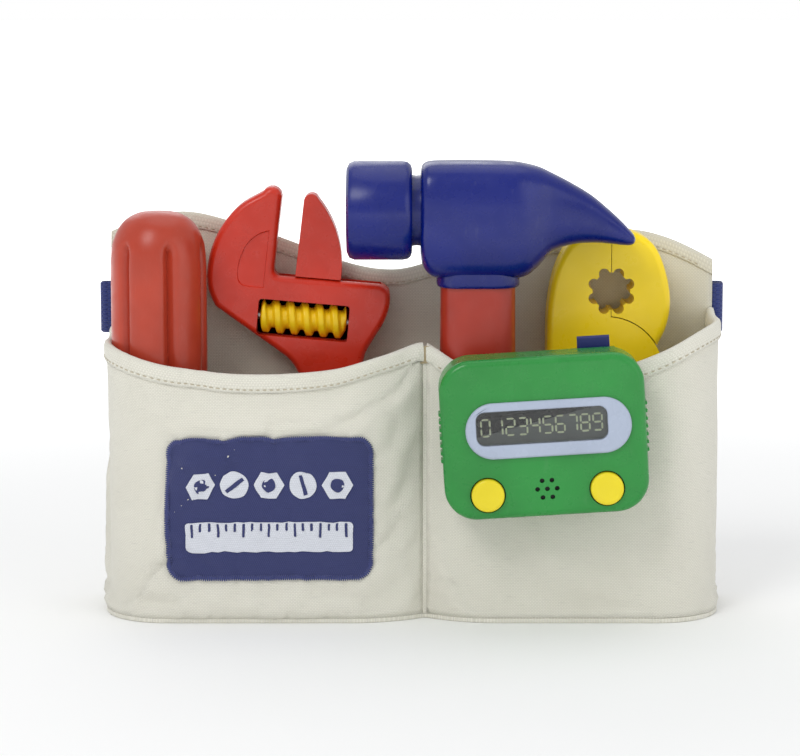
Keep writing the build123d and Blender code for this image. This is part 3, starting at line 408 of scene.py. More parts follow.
def arc(start: Point2, via: Point2, end: Point2, step: float = 2.0) -> list[Point2]:
    """Points along the circle through three points, both ends included.

    Args:
        start: first point.
        via: a point that the arc passes through.
        end: last point.
        step: distance between points.

    Returns:
        The points in order.
    """
    (ax, ay), (bx, by), (cx, cy) = start, via, end
    turn = 2.0 * (ax * (by - cy) + bx * (cy - ay) + cx * (ay - by))
    first, second, third = ax * ax + ay * ay, bx * bx + by * by, cx * cx + cy * cy
    mid_x = (first * (by - cy) + second * (cy - ay) + third * (ay - by)) / turn
    mid_y = (first * (cx - bx) + second * (ax - cx) + third * (bx - ax)) / turn
    radius = math.hypot(ax - mid_x, ay - mid_y)
    begin = math.atan2(ay - mid_y, ax - mid_x)
    middle = (math.atan2(by - mid_y, bx - mid_x) - begin) % math.tau
    sweep = (math.atan2(cy - mid_y, cx - mid_x) - begin) % math.tau
    if middle > sweep:
        sweep -= math.tau
    count = max(2, round(abs(sweep) * radius / step))
    return [(mid_x + radius * math.cos(begin + sweep * i / count),
             mid_y + radius * math.sin(begin + sweep * i / count)) for i in range(count + 1)]


def smooth_line(points: Sequence[Point2], step: float) -> list[Point2]:
    """Points along a smooth curve through the given ones.

    Args:
        points: points that the curve passes through.
        step: rough distance between the returned points.

    Returns:
        The points in order, both ends included.
    """
    knots = [Vector(point) for point in points]
    count = len(knots)
    found: list[Point2] = []
    for i in range(count - 1):
        b, c = knots[i], knots[i + 1]
        a = knots[i - 1] if i else b * 2 - c
        d = knots[i + 2] if i + 2 < count else c * 2 - b
        parts = max(1, round((c - b).length / step))
        for part in range(parts):
            t = part / parts
            place = 0.5 * ((2 * b) + (c - a) * t + (2 * a - 5 * b + 4 * c - d) * t * t
                           + (3 * b - a - 3 * c + d) * t * t * t)
            found.append((place.x, place.y))
    found.append(tuple(knots[-1]))
    return found


def even_steps(points: Sequence[Point2], step: float) -> list[Point2]:
    """Points at equal distances round a closed line of straight runs.

    Args:
        points: corners of the line in order.
        step: rough distance between the returned points.

    Returns:
        The points in order.
    """
    knots = [Vector(point) for point in points]
    runs = [(b - a).length for a, b in zip(knots, [*knots[1:], knots[0]])]
    count = round(sum(runs) / step)
    found: list[Point2] = []
    number, passed = 0, 0.0
    for i in range(count):
        want = sum(runs) * i / count
        while passed + runs[number] < want:
            passed += runs[number]
            number += 1
        place = knots[number].lerp(knots[(number + 1) % len(knots)],
                                   (want - passed) / runs[number])
        found.append((place.x, place.y))
    return found


def chain(*stretches: Sequence[Point2]) -> list[Point2]:
    """Join stretches of points, leaving out each point that repeats the one before it."""
    line: list[Point2] = []
    for stretch in stretches:
        for point in stretch:
            if not line or math.dist(point, line[-1]) > 0.05:
                line.append(tuple(point))
    if math.dist(line[0], line[-1]) < 0.05:
        line.pop()
    return line


def placed(name: str, data: bpy.types.ID) -> bpy.types.Object:
    """Make an object of a mesh, a light or a camera, and link it to the scene."""
    thing = bpy.data.objects.new(name, data)
    bpy.context.scene.collection.objects.link(thing)
    return thing


def mesh_of(name: str, bm: bmesh.types.BMesh) -> bpy.types.Mesh:
    """Turn a bmesh into a mesh; the bmesh is used up."""
    mesh = bpy.data.meshes.new(name)
    bm.to_mesh(mesh)
    bm.free()
    return mesh


def extruded(corners: Iterable[Vector], shift: Vector) -> bmesh.types.BMesh:
    """Closed plate between a face with the given corners and its shifted copy, in metres."""
    bm = bmesh.new()
    face = bm.faces.new([bm.verts.new(corner) for corner in corners])
    moved = bmesh.ops.extrude_face_region(bm, geom=[face])["geom"]
    bmesh.ops.translate(bm, verts=[v for v in moved if isinstance(v, bmesh.types.BMVert)], vec=shift)
    bmesh.ops.recalc_face_normals(bm, faces=bm.faces)
    return bm


def slab(plane: Upright, outline: Sequence[Point2], front: float, back: float) -> bmesh.types.BMesh:
    """Closed plate with the given outline in a plane, from depth front to depth back."""
    return extruded((plane.at(u, v, front) for u, v in outline),
                    Vector((0.0, back - front, 0.0)) * MM)


def close_up(bm: bmesh.types.BMesh) -> None:
    """Merge the doubles of a mesh and fill its open ends."""
    bmesh.ops.remove_doubles(bm, verts=bm.verts, dist=WELD)
    bmesh.ops.holes_fill(bm, edges=[e for e in bm.edges if e.is_boundary], sides=0)


def turned(profile: Iterable[Vector], centre: Sequence[float], axis: Sequence[float],
           steps: int) -> bmesh.types.BMesh:
    """Closed solid turned from a profile about an axis.

    Args:
        profile: points from one end of the axis to the other, in millimetres.
        centre: a point of the axis, in metres.
        axis: direction of the axis.
        steps: number of steps in a full turn.

    Returns:
        A new bmesh.
    """
    bm = bmesh.new()
    verts = [bm.verts.new(point * MM) for point in profile]
    edges = [bm.edges.new(pair) for pair in zip(verts, verts[1:])]
    bmesh.ops.spin(bm, geom=[*verts, *edges], cent=centre, axis=axis, dvec=(0, 0, 0),
                   angle=math.tau, steps=steps, use_merge=True)
    close_up(bm)
    return bm


def squared(t: float, square: float) -> Point2:
    """Point at share t round a circle of radius 1 that is squared off: 2 leaves it round."""
    a, b = math.cos(math.tau * t), math.sin(math.tau * t)
    power = 2.0 / square
    return math.copysign(abs(a) ** power, a), math.copysign(abs(b) ** power, b)


def disc(radius: float, centre: Point2 = (0.0, 0.0), count: int = 48) -> list[Point2]:
    """Outline of a circle."""
    return [(centre[0] + radius * math.cos(math.tau * i / count),
             centre[1] + radius * math.sin(math.tau * i / count)) for i in range(count)]


def rounded_box(width: float, height: float, radius: float, centre: Point2 = (0.0, 0.0),
                step: float = 1.5) -> list[Point2]:
    """Outline of a rounded rectangle, anticlockwise from its lower right corner."""
    parts = max(3, round(radius * math.pi / 2 / step))
    found = []
    for number, (sx, sy) in enumerate(((1, -1), (1, 1), (-1, 1), (-1, -1))):
        begin = math.radians(-90 + 90 * number)
        for i in range(parts + 1):
            angle = begin + math.pi / 2 * i / parts
            found.append((centre[0] + sx * (width / 2 - radius) + radius * math.cos(angle),
                          centre[1] + sy * (height / 2 - radius) + radius * math.sin(angle)))
    return found


def bevelled(bm: bmesh.types.BMesh, edges: list[bmesh.types.BMEdge], radius: float, segments: int,
             clamp: bool) -> None:
    """Round the given edges with a radius in millimetres, cut down on short edges by clamp."""
    bmesh.ops.bevel(bm, geom=edges, offset=radius * MM, offset_type="OFFSET", segments=segments,
                    profile=0.5, affect="EDGES", material=-1, clamp_overlap=clamp)


def round_edges(bm: bmesh.types.BMesh, radius: float, chosen: Callable[[Vector], bool] | None = None,
                segments: int = 4, angle: float = 32.0, clamp: bool = True) -> None:
    """Round a solid's sharp edges.

    Args:
        bm: solid to change.
        radius: radius in millimetres.
        chosen: test of an edge's middle, in metres; every sharp edge when left out.
        segments: steps across the rounding.
        angle: an edge is sharp from this many degrees.
        clamp: whether the radius is cut down where edges are short.
    """
    edges = [e for e in bm.edges if e.is_manifold and e.calc_face_angle() > math.radians(angle)
             and (chosen is None or chosen((e.verts[0].co + e.verts[1].co) / 2))]
    if edges:
        bevelled(bm, edges, radius, segments, clamp)


def node_copy(node: str, flat: float = 2.0) -> bmesh.types.BMesh:
    """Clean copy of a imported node: doubles merged, flat faces joined.

    Args:
        node: name of the node.
        flat: faces within this many degrees of each other are joined.

    Returns:
        A new bmesh.
    """
    bm = bmesh.new()
    bm.from_mesh(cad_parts[node].data)
    bmesh.ops.remove_doubles(bm, verts=bm.verts, dist=WELD)
    bmesh.ops.dissolve_limit(bm, angle_limit=math.radians(flat), verts=bm.verts, edges=bm.edges)
    bmesh.ops.recalc_face_normals(bm, faces=bm.faces)
    return bm


def cut_away(bm: bmesh.types.BMesh, cutters: Iterable[bmesh.types.BMesh],
             operation: str = "DIFFERENCE") -> bmesh.types.BMesh:
    """Subtract solids from a solid, or join them to it.

    Args:
        bm: solid to change; it is used up.
        cutters: solids to subtract; they are used up.
        operation: name of the Boolean modifier's operation.

    Returns:
        A new bmesh.
    """
    made = []
    for name, source in [("body", bm), *(("tool", cutter) for cutter in cutters)]:
        bmesh.ops.recalc_face_normals(source, faces=source.faces)
        made.append(placed(name, mesh_of(name, source)))
    body = made[0]
    for tool in made[1:]:
        modifier = body.modifiers.new("cut", "BOOLEAN")
        modifier.operation = operation
        modifier.solver = "EXACT"
        modifier.object = tool
    evaluated = body.evaluated_get(bpy.context.evaluated_depsgraph_get())
    result = bmesh.new()
    result.from_mesh(bpy.data.meshes.new_from_object(evaluated))
    for item in made:
        bpy.data.objects.remove(item)
    bmesh.ops.remove_doubles(result, verts=result.verts, dist=WELD)
    return result


def joined(parts: Iterable[bmesh.types.BMesh]) -> bmesh.types.BMesh:
    """Put several bmeshes into one; the given ones are used up."""
    whole = bmesh.new()
    for part in parts:
        mesh = mesh_of("part", part)
        whole.from_mesh(mesh)
        bpy.data.meshes.remove(mesh)
    return whole


def half_of(bm: bmesh.types.BMesh, y: float, front: bool) -> bmesh.types.BMesh:
    """Keep one half of a solid moulded in two shells, closed along its parting plane.

    Args:
        bm: solid to split; it is not changed.
        y: depth of the parting plane, in millimetres.
        front: whether to keep the front half.

    Returns:
        A new bmesh.
    """
    half = bm.copy()
    bmesh.ops.bisect_plane(half, geom=[*half.verts, *half.edges, *half.faces], dist=ON_PLANE,
                           plane_co=(0.0, y * MM, 0.0), plane_no=(0.0, 1.0, 0.0),
                           clear_outer=front, clear_inner=not front)
    rim = [edge for edge in half.edges if edge.is_boundary]
    bmesh.ops.holes_fill(half, edges=rim, sides=0)
    bmesh.ops.recalc_face_normals(half, faces=half.faces)
    parting_line = 0.35
    round_edges(half, parting_line, lambda at: abs(at.y - y * MM) < 1e-6, 2)
    return half


def two_shells(whole: bmesh.types.BMesh, y: float) -> Iterator[tuple[str, bmesh.types.BMesh]]:
    """Yield the front and back halves of a solid, each with its word; the solid is used up."""
    for word, front in (("front", True), ("back", False)):
        yield word, half_of(whole, y, front)
    whole.free()


class Workshop:
    """Makes finished objects out of bmeshes and hands them to the frame."""

    @staticmethod
    def piece(name: str, bm: bmesh.types.BMesh, finish: Finish | Sequence[Finish], body: str | None,
              slot: str, replaces: Sequence[str] = (), sharp: float = 38.0,
              weighted: bool = True) -> bpy.types.Object:
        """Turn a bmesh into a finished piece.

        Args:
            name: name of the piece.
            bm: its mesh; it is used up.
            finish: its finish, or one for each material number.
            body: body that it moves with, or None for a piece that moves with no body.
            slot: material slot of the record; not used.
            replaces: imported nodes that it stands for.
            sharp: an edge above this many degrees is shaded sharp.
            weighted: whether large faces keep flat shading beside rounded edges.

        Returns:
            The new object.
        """
        bmesh.ops.recalc_face_normals(bm, faces=bm.faces)
        for face in bm.faces:
            face.smooth = True
        for edge in bm.edges:
            edge.smooth = not (edge.is_manifold and edge.calc_face_angle() > math.radians(sharp))
        mesh = mesh_of(name, bm)
        for left_over in ("custom_normal", "COLOR_0"):
            if left_over in mesh.attributes:
                mesh.attributes.remove(mesh.attributes[left_over])
        mesh.materials.clear()
        for one in [finish] if isinstance(finish, Finish) else finish:
            mesh.materials.append(one.material())
        thing = placed(name, mesh)
        if weighted:
            modifier = thing.modifiers.new("shading", "WEIGHTED_NORMAL")
            modifier.keep_sharp = True
        if body:
            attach(thing, body)
        if replaces:
            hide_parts(*replaces)
        LOG.info("%s: %d faces", name, len(mesh.polygons))
        return thing

    @staticmethod
    def sewn(name: str, bm: bmesh.types.BMesh, finish: Finish, slot: str = "canvas",
             replaces: Sequence[str] = ()) -> bpy.types.Object:
        """Make a smoothly shaded piece of cloth or thread that moves with the pouch."""
        return Workshop.piece(name, bm, finish, "pouch", slot, replaces, SOFT, False)

    @staticmethod
    def thicken(sheet: bpy.types.Object, thickness: float) -> None:
        """Give a sheet of cloth its thickness, in millimetres, evenly to both sides."""
        modifier = sheet.modifiers.new("thickness", "SOLIDIFY")
        modifier.thickness = thickness * MM
        modifier.offset = 0.0

    @staticmethod
    def dress(finish: Finish, *nodes: str) -> None:
        """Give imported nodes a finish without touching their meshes."""
        for node in nodes:
            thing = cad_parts[node]
            if not thing.data.materials:
                thing.data.materials.append(None)
            for slot in thing.material_slots:
                slot.link = "DATA"
                slot.material = finish.material()
            LOG.info("%s: finish %s", node, finish.name)

    @staticmethod
    def soften(node: str, finish: Finish, body: str, slot: str, radius: float = 0.6,
               segments: int = 3) -> bpy.types.Object:
        """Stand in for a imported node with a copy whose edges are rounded."""
        bm = node_copy(node)
        round_edges(bm, radius, None, segments)
        return Workshop.piece(node + "_moulded", bm, finish, body, slot, (node,))


def mapped_grid(columns: int, rows: int, place: Callable[[float, float], Vector],
                texture: Callable[[float, float], Point2] | None = None,
                closed: bool = False) -> bmesh.types.BMesh:
    """Grid laid on a surface given by a formula.

    Args:
        columns: faces along the first share.
        rows: faces along the second share.
        place: gives the point, in millimetres, for two shares from 0 to 1.
        texture: gives the UV place, in metres, for the same shares.
        closed: whether its seam and poles are merged and its open ends filled.

    Returns:
        A new bmesh.
    """
    bm = bmesh.new()
    layer = bm.loops.layers.uv.new("UVMap")
    bmesh.ops.create_grid(bm, x_segments=columns, y_segments=rows, size=0.5)
    shares = {v: (v.co.x + 0.5, v.co.y + 0.5) for v in bm.verts}
    if texture:
        for face in bm.faces:
            for loop in face.loops:
                loop[layer].uv = texture(*shares[loop.vert])
    for vert, (s, t) in shares.items():
        vert.co = place(s, t) * MM
    if closed:
        close_up(bm)
    bmesh.ops.recalc_face_normals(bm, faces=bm.faces)
    return bm


def between(x: float, low: float, high: float) -> float:
    """Smooth step from 0 at low to 1 at high."""
    t = min(1.0, max(0.0, (x - low) / (high - low)))
    return t * t * (3.0 - 2.0 * t)


def table_value(table: Sequence[Point2], x: float) -> float:
    """Value at x of a smooth curve through the points of a table, given in order of x."""
    last = len(table) - 2
    i = max(0, min(last, sum(1 for point in table if point[0] <= x) - 1))
    (xb, b), (xc, c) = table[i], table[i + 1]
    a = table[i - 1] if i else (2 * xb - xc, 2 * b - c)
    d = table[i + 2] if i < last else (2 * xc - xb, 2 * c - b)
    slope_b = (c - a[1]) / (xc - a[0])
    slope_c = (d[1] - b) / (d[0] - xb)
    t = (x - xb) / (xc - xb)
    span = xc - xb
    return ((2 * t ** 3 - 3 * t ** 2 + 1) * b + (t ** 3 - 2 * t ** 2 + t) * span * slope_b
            + (3 * t ** 2 - 2 * t ** 3) * c + (t ** 3 - t ** 2) * span * slope_c)


def stitches(spots: Sequence[tuple[Vector, Vector, Vector]], length: float,
             radius: float) -> bmesh.types.BMesh:
    """Row of separate stitches, each a flattened bead of thread.

    Args:
        spots: middle, direction and surface normal of each stitch, in millimetres.
        length: length of a stitch.
        radius: half the thread's width.

    Returns:
        A new bmesh.
    """
    bm = bmesh.new()
    for middle, along, normal in spots:
        ahead = along.normalized()
        side = normal.cross(ahead).normalized()
        turn = Matrix((ahead, side, ahead.cross(side))).transposed().to_4x4()
        size = Matrix.Diagonal((length / 2, radius, radius * 0.75, 1.0))
        bmesh.ops.create_uvsphere(bm, u_segments=6, v_segments=5, radius=MM,
                                  matrix=Matrix.Translation(middle * MM) @ turn @ size)
    return bm


# Canvas pouch
class Side(Enum):
    """Which half of the pouch, seen from the front."""

    LEFT = -1
    RIGHT = 1


@dataclass
class PocketLine:
    """Plan line of the middle of one pocket wall, from its side seam to the centre seam."""

    side: Side
    edge: float = 145.8
    back: float = 33.0
    front: float = -32.8
    corner: float = 30.0
    bend: float = 58.0
    bend_start: float = 36.0
    seam: float = 6.0
    seam_gap: float = 1.2

    def __post_init__(self) -> None:
        """Work out the lengths of the straight and bent stretches."""
        sign = self.side.value
        self.leg = self.back - self.front - self.corner
        self.quarter = self.corner * math.pi / 2
        self.near = self.seam + sign * self.bend_start
        self.middle = sign * (self.edge - self.corner)
        self.straight = abs(self.middle - self.near)
        self.sweep = math.asin((self.bend_start - self.seam_gap) / self.bend)
        self.length = self.leg + self.quarter + self.straight + self.bend * self.sweep

    def at(self, s: float) -> tuple[Vector, Vector]:
        """Return the point and the outward normal at length s along the line."""
        sign = self.side.value
        s = max(0.0, min(self.length, s))
        if s < self.leg:
            return Vector((sign * self.edge, self.back - s, 0)), Vector((sign, 0, 0))
        s -= self.leg
        if s < self.quarter:
            angle = s / self.corner
            normal = Vector((sign * math.cos(angle), -math.sin(angle), 0))
            return Vector((self.middle, self.front + self.corner, 0)) + self.corner * normal, normal
        s -= self.quarter
        if s < self.straight:
            return Vector((self.middle - sign * s, self.front, 0)), Vector((0, -1, 0))
        angle = (s - self.straight) / self.bend
        normal = Vector((-sign * math.sin(angle), -math.cos(angle), 0))
        return Vector((self.near, self.front + self.bend, 0)) + self.bend * normal, normal

    def length_at(self, x: float) -> float:
        """Return the length along the line where its front part crosses x."""
        sign = self.side.value
        flat = sign * (self.middle - x)
        if flat <= self.straight:
            return self.leg + self.quarter + flat
        return (self.leg + self.quarter + self.straight
                + self.bend * math.asin((flat - self.straight) / self.bend))


@dataclass
class ClothPanel:
    """One cut panel of canvas: a fine grid that is sewn at its edges and sags between them."""

    name: str
    length: float
    line: Callable[[float], tuple[Vector, Vector]]
    top: Callable[[float], float]
    bottom: float = BOTTOM
    spacing: float = 3.0
    fold: Callable[[float, float], float] = lambda s, t: 0.0
    spots: dict[tuple[int, int], Vector] = field(default_factory=dict)

    def __post_init__(self) -> None:
        """Lay the panel out flat against its line."""
        self.columns = round(self.length / self.spacing)
        self.rows = round((self.top(self.length / 2) - self.bottom) / self.spacing)
        for i in range(self.columns + 1):
            for j in range(self.rows + 1):
                s, t = i / self.columns, j / self.rows
                point, normal = self.line(s * self.length)
                height = self.bottom + t * (self.top(s * self.length) - self.bottom)
                self.spots[i, j] = (point + normal * self.fold(s, t)
                                    + Vector((0, 0, height)))

    def grid_spot(self, s: float, t: float) -> Vector:
        """Return the panel's point at two shares from 0 to 1, in millimetres."""
        across, up = s * self.columns, t * self.rows
        i, j = min(int(across), self.columns - 1), min(int(up), self.rows - 1)
        a, b = across - i, up - j
        low = self.spots[i, j].lerp(self.spots[i + 1, j], a)
        high = self.spots[i, j + 1].lerp(self.spots[i + 1, j + 1], a)
        return low.lerp(high, b)

    def at(self, s: float, z: float, proud: float = 0.0) -> Vector:
        """Return the point at length s and height z, moved outwards by proud millimetres."""
        share = min(1.0, max(0.0, s / self.length))
        up = (z - self.bottom) / (self.top(s) - self.bottom)
        point = self.grid_spot(share, min(1.0, max(0.0, up)))
        over = max(0.0, up - 1.0) * (self.top(s) - self.bottom)
        return point + self.normal(share, min(1.0, up)) * proud + Vector((0, 0, over))

    def normal(self, s: float, t: float) -> Vector:
        """Return the panel's outward normal at two shares."""
        _, outward = self.line(s * self.length)
        step = 0.02
        a = self.grid_spot(min(1.0, s + step), t) - self.grid_spot(max(0.0, s - step), t)
        b = self.grid_spot(s, min(1.0, t + step)) - self.grid_spot(s, max(0.0, t - step))
        normal = a.cross(b).normalized()
        return normal if normal.dot(outward) > 0 else -normal

    def flat_place(self, s: float, t: float) -> Point2:
        """Return the UV place, in metres, of two shares."""
        return (s * self.length * MM,
                (self.bottom + t * (self.top(s * self.length) - self.bottom)) * MM)

    def settle(self, slack: float, cap: float, held: Callable[[float, float], float]) -> None:
        """Let the panel sag by cloth simulation.

        Args:
            slack: share of extra cloth between the seams.
            cap: furthest that a point may move, in millimetres.
            held: how firmly a point is sewn down, from 0 to 1, for two shares.
        """
        cloth = placed("cloth", mesh_of("cloth", mapped_grid(self.columns, self.rows,
                                                             self.grid_spot)))
        keys = [(round(s * self.columns), round(t * self.rows)) for s, t in self.order()]
        group = cloth.vertex_groups.new(name="sewn")
        for number, (i, j) in enumerate(keys):
            group.add([number], held(i / self.columns, j / self.rows), "REPLACE")
        settings = cloth.modifiers.new("cloth", "CLOTH").settings
        settings.quality = 6
        settings.mass = 0.35
        settings.tension_stiffness = 40.0
        settings.compression_stiffness = 40.0
        settings.shear_stiffness = 12.0
        settings.bending_stiffness = 1.2
        settings.shrink_min = -slack
        settings.vertex_group_mass = "sewn"
        last_frame = 26
        for number in range(1, last_frame + 1):
            bpy.context.scene.frame_set(number)
        done = cloth.evaluated_get(bpy.context.evaluated_depsgraph_get()).to_mesh()
        for number, key in enumerate(keys):
            move = done.vertices[number].co / MM - self.spots[key]
            if move.length > cap:
                move *= cap / move.length
            self.spots[key] = self.spots[key] + move
        bpy.data.objects.remove(cloth)
        bpy.context.scene.frame_set(1)
        LOG.info("%s: settled by cloth simulation", self.name)

    def order(self) -> list[Point2]:
        """Return the shares of every grid vertex in mesh order."""
        found: list[Point2] = []
        bm = bmesh.new()
        bmesh.ops.create_grid(bm, x_segments=self.columns, y_segments=self.rows, size=0.5)
        for vert in bm.verts:
            found.append((vert.co.x + 0.5, vert.co.y + 0.5))
        bm.free()
        return found

    def cloth(self, finish: Finish, replaces: Sequence[str]) -> None:
        """Make the panel's own piece, with a thickness; its flat height and area are worked out but
        not used.
        """
        bm = mapped_grid(self.columns, self.rows, self.grid_spot, self.flat_place)
        for face in bm.faces:
            middle = face.calc_center_median() / MM
            share = min(1.0, max(0.0, self.share_near(middle)))
            if face.normal.dot(self.line(share * self.length)[1]) < 0:
                face.normal_flip()
        thing = Workshop.sewn(self.name + "_canvas", bm, finish, replaces=replaces)
        Workshop.thicken(thing, CANVAS_THICKNESS)
        height = max(self.top(self.length * i / 20) for i in range(21)) - self.bottom
        area = sum(self.top(self.length * (i + 0.5) / 40) - self.bottom for i in range(40)) / 40

    def share_near(self, point: Vector) -> float:
        """Return the share along the panel whose line passes nearest to a point."""
        flat = Vector((point.x, point.y, 0))
        return min((i / 60 for i in range(61)),
                   key=lambda share: (self.line(share * self.length)[0] - flat).length)

    def hem(self, finish: Finish, depth: float = 8.0, half: float = 1.9) -> None:
        """Fold of canvas over the panel's top edge."""
        section = [(half - 0.25, -depth), (half, -depth + 0.6), (half + 0.05, -depth / 2),
                   (half, -1.3), (half * 0.7, 0.25), (0.0, 0.8), (-half * 0.7, 0.25),
                   (-half, -1.3), (-half, -depth + 0.6), (-half + 0.25, -depth)]
        closed = [*section, section[0]]

        def place(s: float, t: float) -> Vector:
            """Point of the hem's skin."""
            proud, drop = closed[round(t * (len(closed) - 1))]
            here = s * self.length
            ripple = 0.12 * noise(Vector((here * 0.11, 3.0, t)))
            return self.at(here, self.top(here) + drop, proud + ripple)

        def texture(s: float, t: float) -> Point2:
            """UV place of the hem's skin."""
            return s * self.length * MM, (0.4 + t * 0.019)

        bm = mapped_grid(self.columns * 2, len(closed) - 1, place, texture, True)
        Workshop.sewn(self.name + "_hem", bm, finish)

    def thread_row(self, name: str, drop: float, proud: float = 2.0) -> None:
        """Row of stitches that follows the top edge at a distance below it."""
        spots = []
        end, step = 3.0, 3.1
        for i in range(int((self.length - end - end) / step)):
            s = end + i * step
            middle = self.at(s, self.top(s) - drop, proud)
            ahead = self.at(s + 1, self.top(s + 1) - drop, proud) - middle
            spots.append((middle, ahead, self.normal(s / self.length, 0.95)))
        Workshop.sewn(name, stitches(spots, step * 0.72, THREAD), SEAM_THREAD)


CANVAS_THICKNESS = 1.7
SEAM_INSET = 0.4
RIM = [(-154, 135), (-137, 130), (-112, 123.5), (-78, 120), (-38, 122), (-12, 128), (6, 131),
       (20, 124), (34, 119.5), (52, 118.5), (84, 118.5), (112, 127.5), (136, 138.5), (154, 144)]
BACK_TOP = [(-154, 175), (-132, 184), (-110, 188), (-84, 182), (-60, 174), (-30, 163), (-8, 160),
            (14, 165), (50, 172), (84, 177), (108, 179), (128, 174), (154, 161)]


@dataclass
class Pouch:
    """Canvas pouch: two pockets, a back panel, a bottom, a divider and a woven label."""

    label_x: float = -67.0
    label_z: float = 56.0
    label_width: float = 96.0
    label_height: float = 67.0
    label_corner: float = 7.0

    def pocket(self, side: Side) -> ClothPanel:
        """Make one pocket wall with its hem and seams."""
        line = PocketLine(side)
        word = side.name.lower()
        seed = 11.0 if side is Side.LEFT else 47.0

        def relief(s: float, t: float) -> float:
            """Soft hand-made folds, least at the seams."""
            free = between(s, 0.0, 0.12) * between(1 - s, 0.0, 0.10) * between(t, 0.0, 0.25)
            broad = noise(Vector((s * 5.0, t * 1.6, seed)))
            fine = noise(Vector((s * 13.0 + t * 3.0, t * 4.0 - s * 2.0, seed + 5)))
            return free * (1.1 * broad + 0.5 * fine) - 0.4 * free

        panel = ClothPanel(word + "_pocket", line.length, line.at,
                           lambda s: table_value(RIM, line.at(s)[0].x), fold=relief)

        def held(s: float, t: float) -> float:
            """Sewn along the sides and the bottom; the hem and the label are stiff."""
            edge = max(1 - between(s, 0.0, 0.03), 1 - between(1 - s, 0.0, 0.03),
                       1 - between(t, 0.0, 0.03))
            spot = panel.grid_spot(s, t) - Vector((self.label_x, 0, self.label_z))
            near = (abs(spot.x) < self.label_width / 2 + 3.0
                    and abs(spot.z) < self.label_height / 2 + 3.0)
            return max(edge, 0.25 * between(t, 0.93, 1.0), 0.35 if near else 0.0)

        panel.settle(0.022, 2.6 if side is Side.LEFT else 1.3, held)
        panel.cloth(CANVAS, (word + "_pocket",))
        panel.hem(CANVAS)
        panel.thread_row(word + "_hem_stitches", 6.3)
        return panel

    def back(self) -> None:
        """Make the back panel, whose top edge stands up in soft folds."""
        width = 293.0

        def line(s: float) -> tuple[Vector, Vector]:
            """Line along the back, from left to right."""
            return Vector((s - width / 2, 34.2, 0)), Vector((0, 1, 0))

        def top(s: float) -> float:
            """Height of the top edge."""
            return table_value(BACK_TOP, s - width / 2)

        def relief(s: float, t: float) -> float:
            """Folds that start above the waist band and grow towards the top edge."""
            height = t * top(s * width)
            loose = between(height, 154.0, 186.0)
            low = between(t, 0.0, 0.3) * (1 - between(height, 118, 130))
            return (loose * (3.2 + 4.4 * noise(Vector((s * 8.0, 0.7, 3.0))))
                    - low * (0.8 + 0.8 * noise(Vector((s * 5.0, t * 3.0, 21.0)))))

        panel = ClothPanel("back_panel", width, line, top, fold=relief)
        # painted shade: the back panel takes the darker copy of the canvas
        panel.cloth(CANVAS_SHADED_BACK, ("back_panel",))
        panel.hem(CANVAS_SHADED_BACK, 7.0, 1.6)
        panel.thread_row("back_hem_stitches_outside", 5.6, proud=1.7)
        panel.thread_row("back_hem_stitches_inside", 5.6, proud=-1.7)

    def bottom(self) -> None:
        """Make the bottom panel, cut to the plan of both pockets."""
        outline: list[Point2] = []
        for line, steps in ((PocketLine(Side.LEFT), range(81)),
                            (PocketLine(Side.RIGHT), range(80, -1, -1))):
            for i in steps:
                point, normal = line.at(line.length * i / 80)
                outline.append(tuple((point + normal * 0.9).xy))
        outline += [(146.5, 35.2), (-146.5, 35.2)]
        bm = extruded((Vector((x, y, 0.0)) * MM for x, y in outline), Vector((0.0, 0.0, BOTTOM)) * MM)
        layer = bm.loops.layers.uv.new("UVMap")
        for item in bm.faces:
            for loop in item.loops:
                loop[layer].uv = loop.vert.co.xy
        round_edges(bm, 0.7, None, 3, 60.0)
        thing = Workshop.piece("bottom_panel_canvas", bm, CANVAS, "pouch", "canvas",
                               ("bottom_panel",))

    def divider(self) -> None:
        """Make the wall between the two pockets."""
        def place(s: float, t: float) -> Vector:
            """Point of the divider, which bows a little."""
            bow = 0.8 * math.sin(math.pi * s) * math.sin(math.pi * min(1.0, t * 1.1))
            return Vector((6.0 + bow, -21.0 + 53.8 * s, BOTTOM + 112.0 * t))

        bm = mapped_grid(18, 37, place, lambda s, t: (s * 0.054, t * 0.112))
        thing = Workshop.sewn("pocket_divider_canvas", bm, CANVAS, replaces=("pocket_divider",))
        Workshop.thicken(thing, CANVAS_THICKNESS)

    def centre_seam(self, left: ClothPanel, right: ClothPanel) -> None:
        """Sew the pockets together: a felled ridge with stitches, and bar tacks at its top."""
        def seam(z: float) -> Vector:
            """Middle of the seam at a height."""
            return (left.at(left.length - SEAM_INSET, z)
                    + right.at(right.length - SEAM_INSET, z)) / 2

        def place(s: float, t: float) -> Vector:
            """Point of the ridge that covers both cut edges."""
            angle = math.pi * t
            return seam(BOTTOM + s * 126.5) + Vector((-3.0 * math.cos(angle),
                                                   -1.4 * math.sin(angle) + 0.8, 0))

        bm = mapped_grid(42, 10, place, lambda s, t: (t * 0.008, s * 0.124), True)
        Workshop.sewn("centre_seam_fell", bm, CANVAS)
        forwards = Vector((0, -1, 0))
        rows = [(seam(4.0 + i * 3.1) + Vector((x, -0.42, 0)), Vector((0, 0, 1)), forwards)
                for x in (-1.6, 1.6) for i in range(39)]
        Workshop.sewn("centre_seam_stitches", stitches(rows, 2.3, THREAD), SEAM_THREAD)
        tacks = [(seam(122.4 + i * 0.55) + Vector((0, -1.35, 0)), Vector((1, 0, 0.1)), forwards)
                 for i in range(15)]
        Workshop.sewn("centre_bar_tack", stitches(tacks, 6.4, 0.34), TACK_THREAD)

    def label(self, panel: ClothPanel) -> None:
        """Make the woven label, its overlocked edge and its plain motif: nuts, screws and a rule."""
        line = PocketLine(Side.LEFT)
        middle = line.length_at(self.label_x)

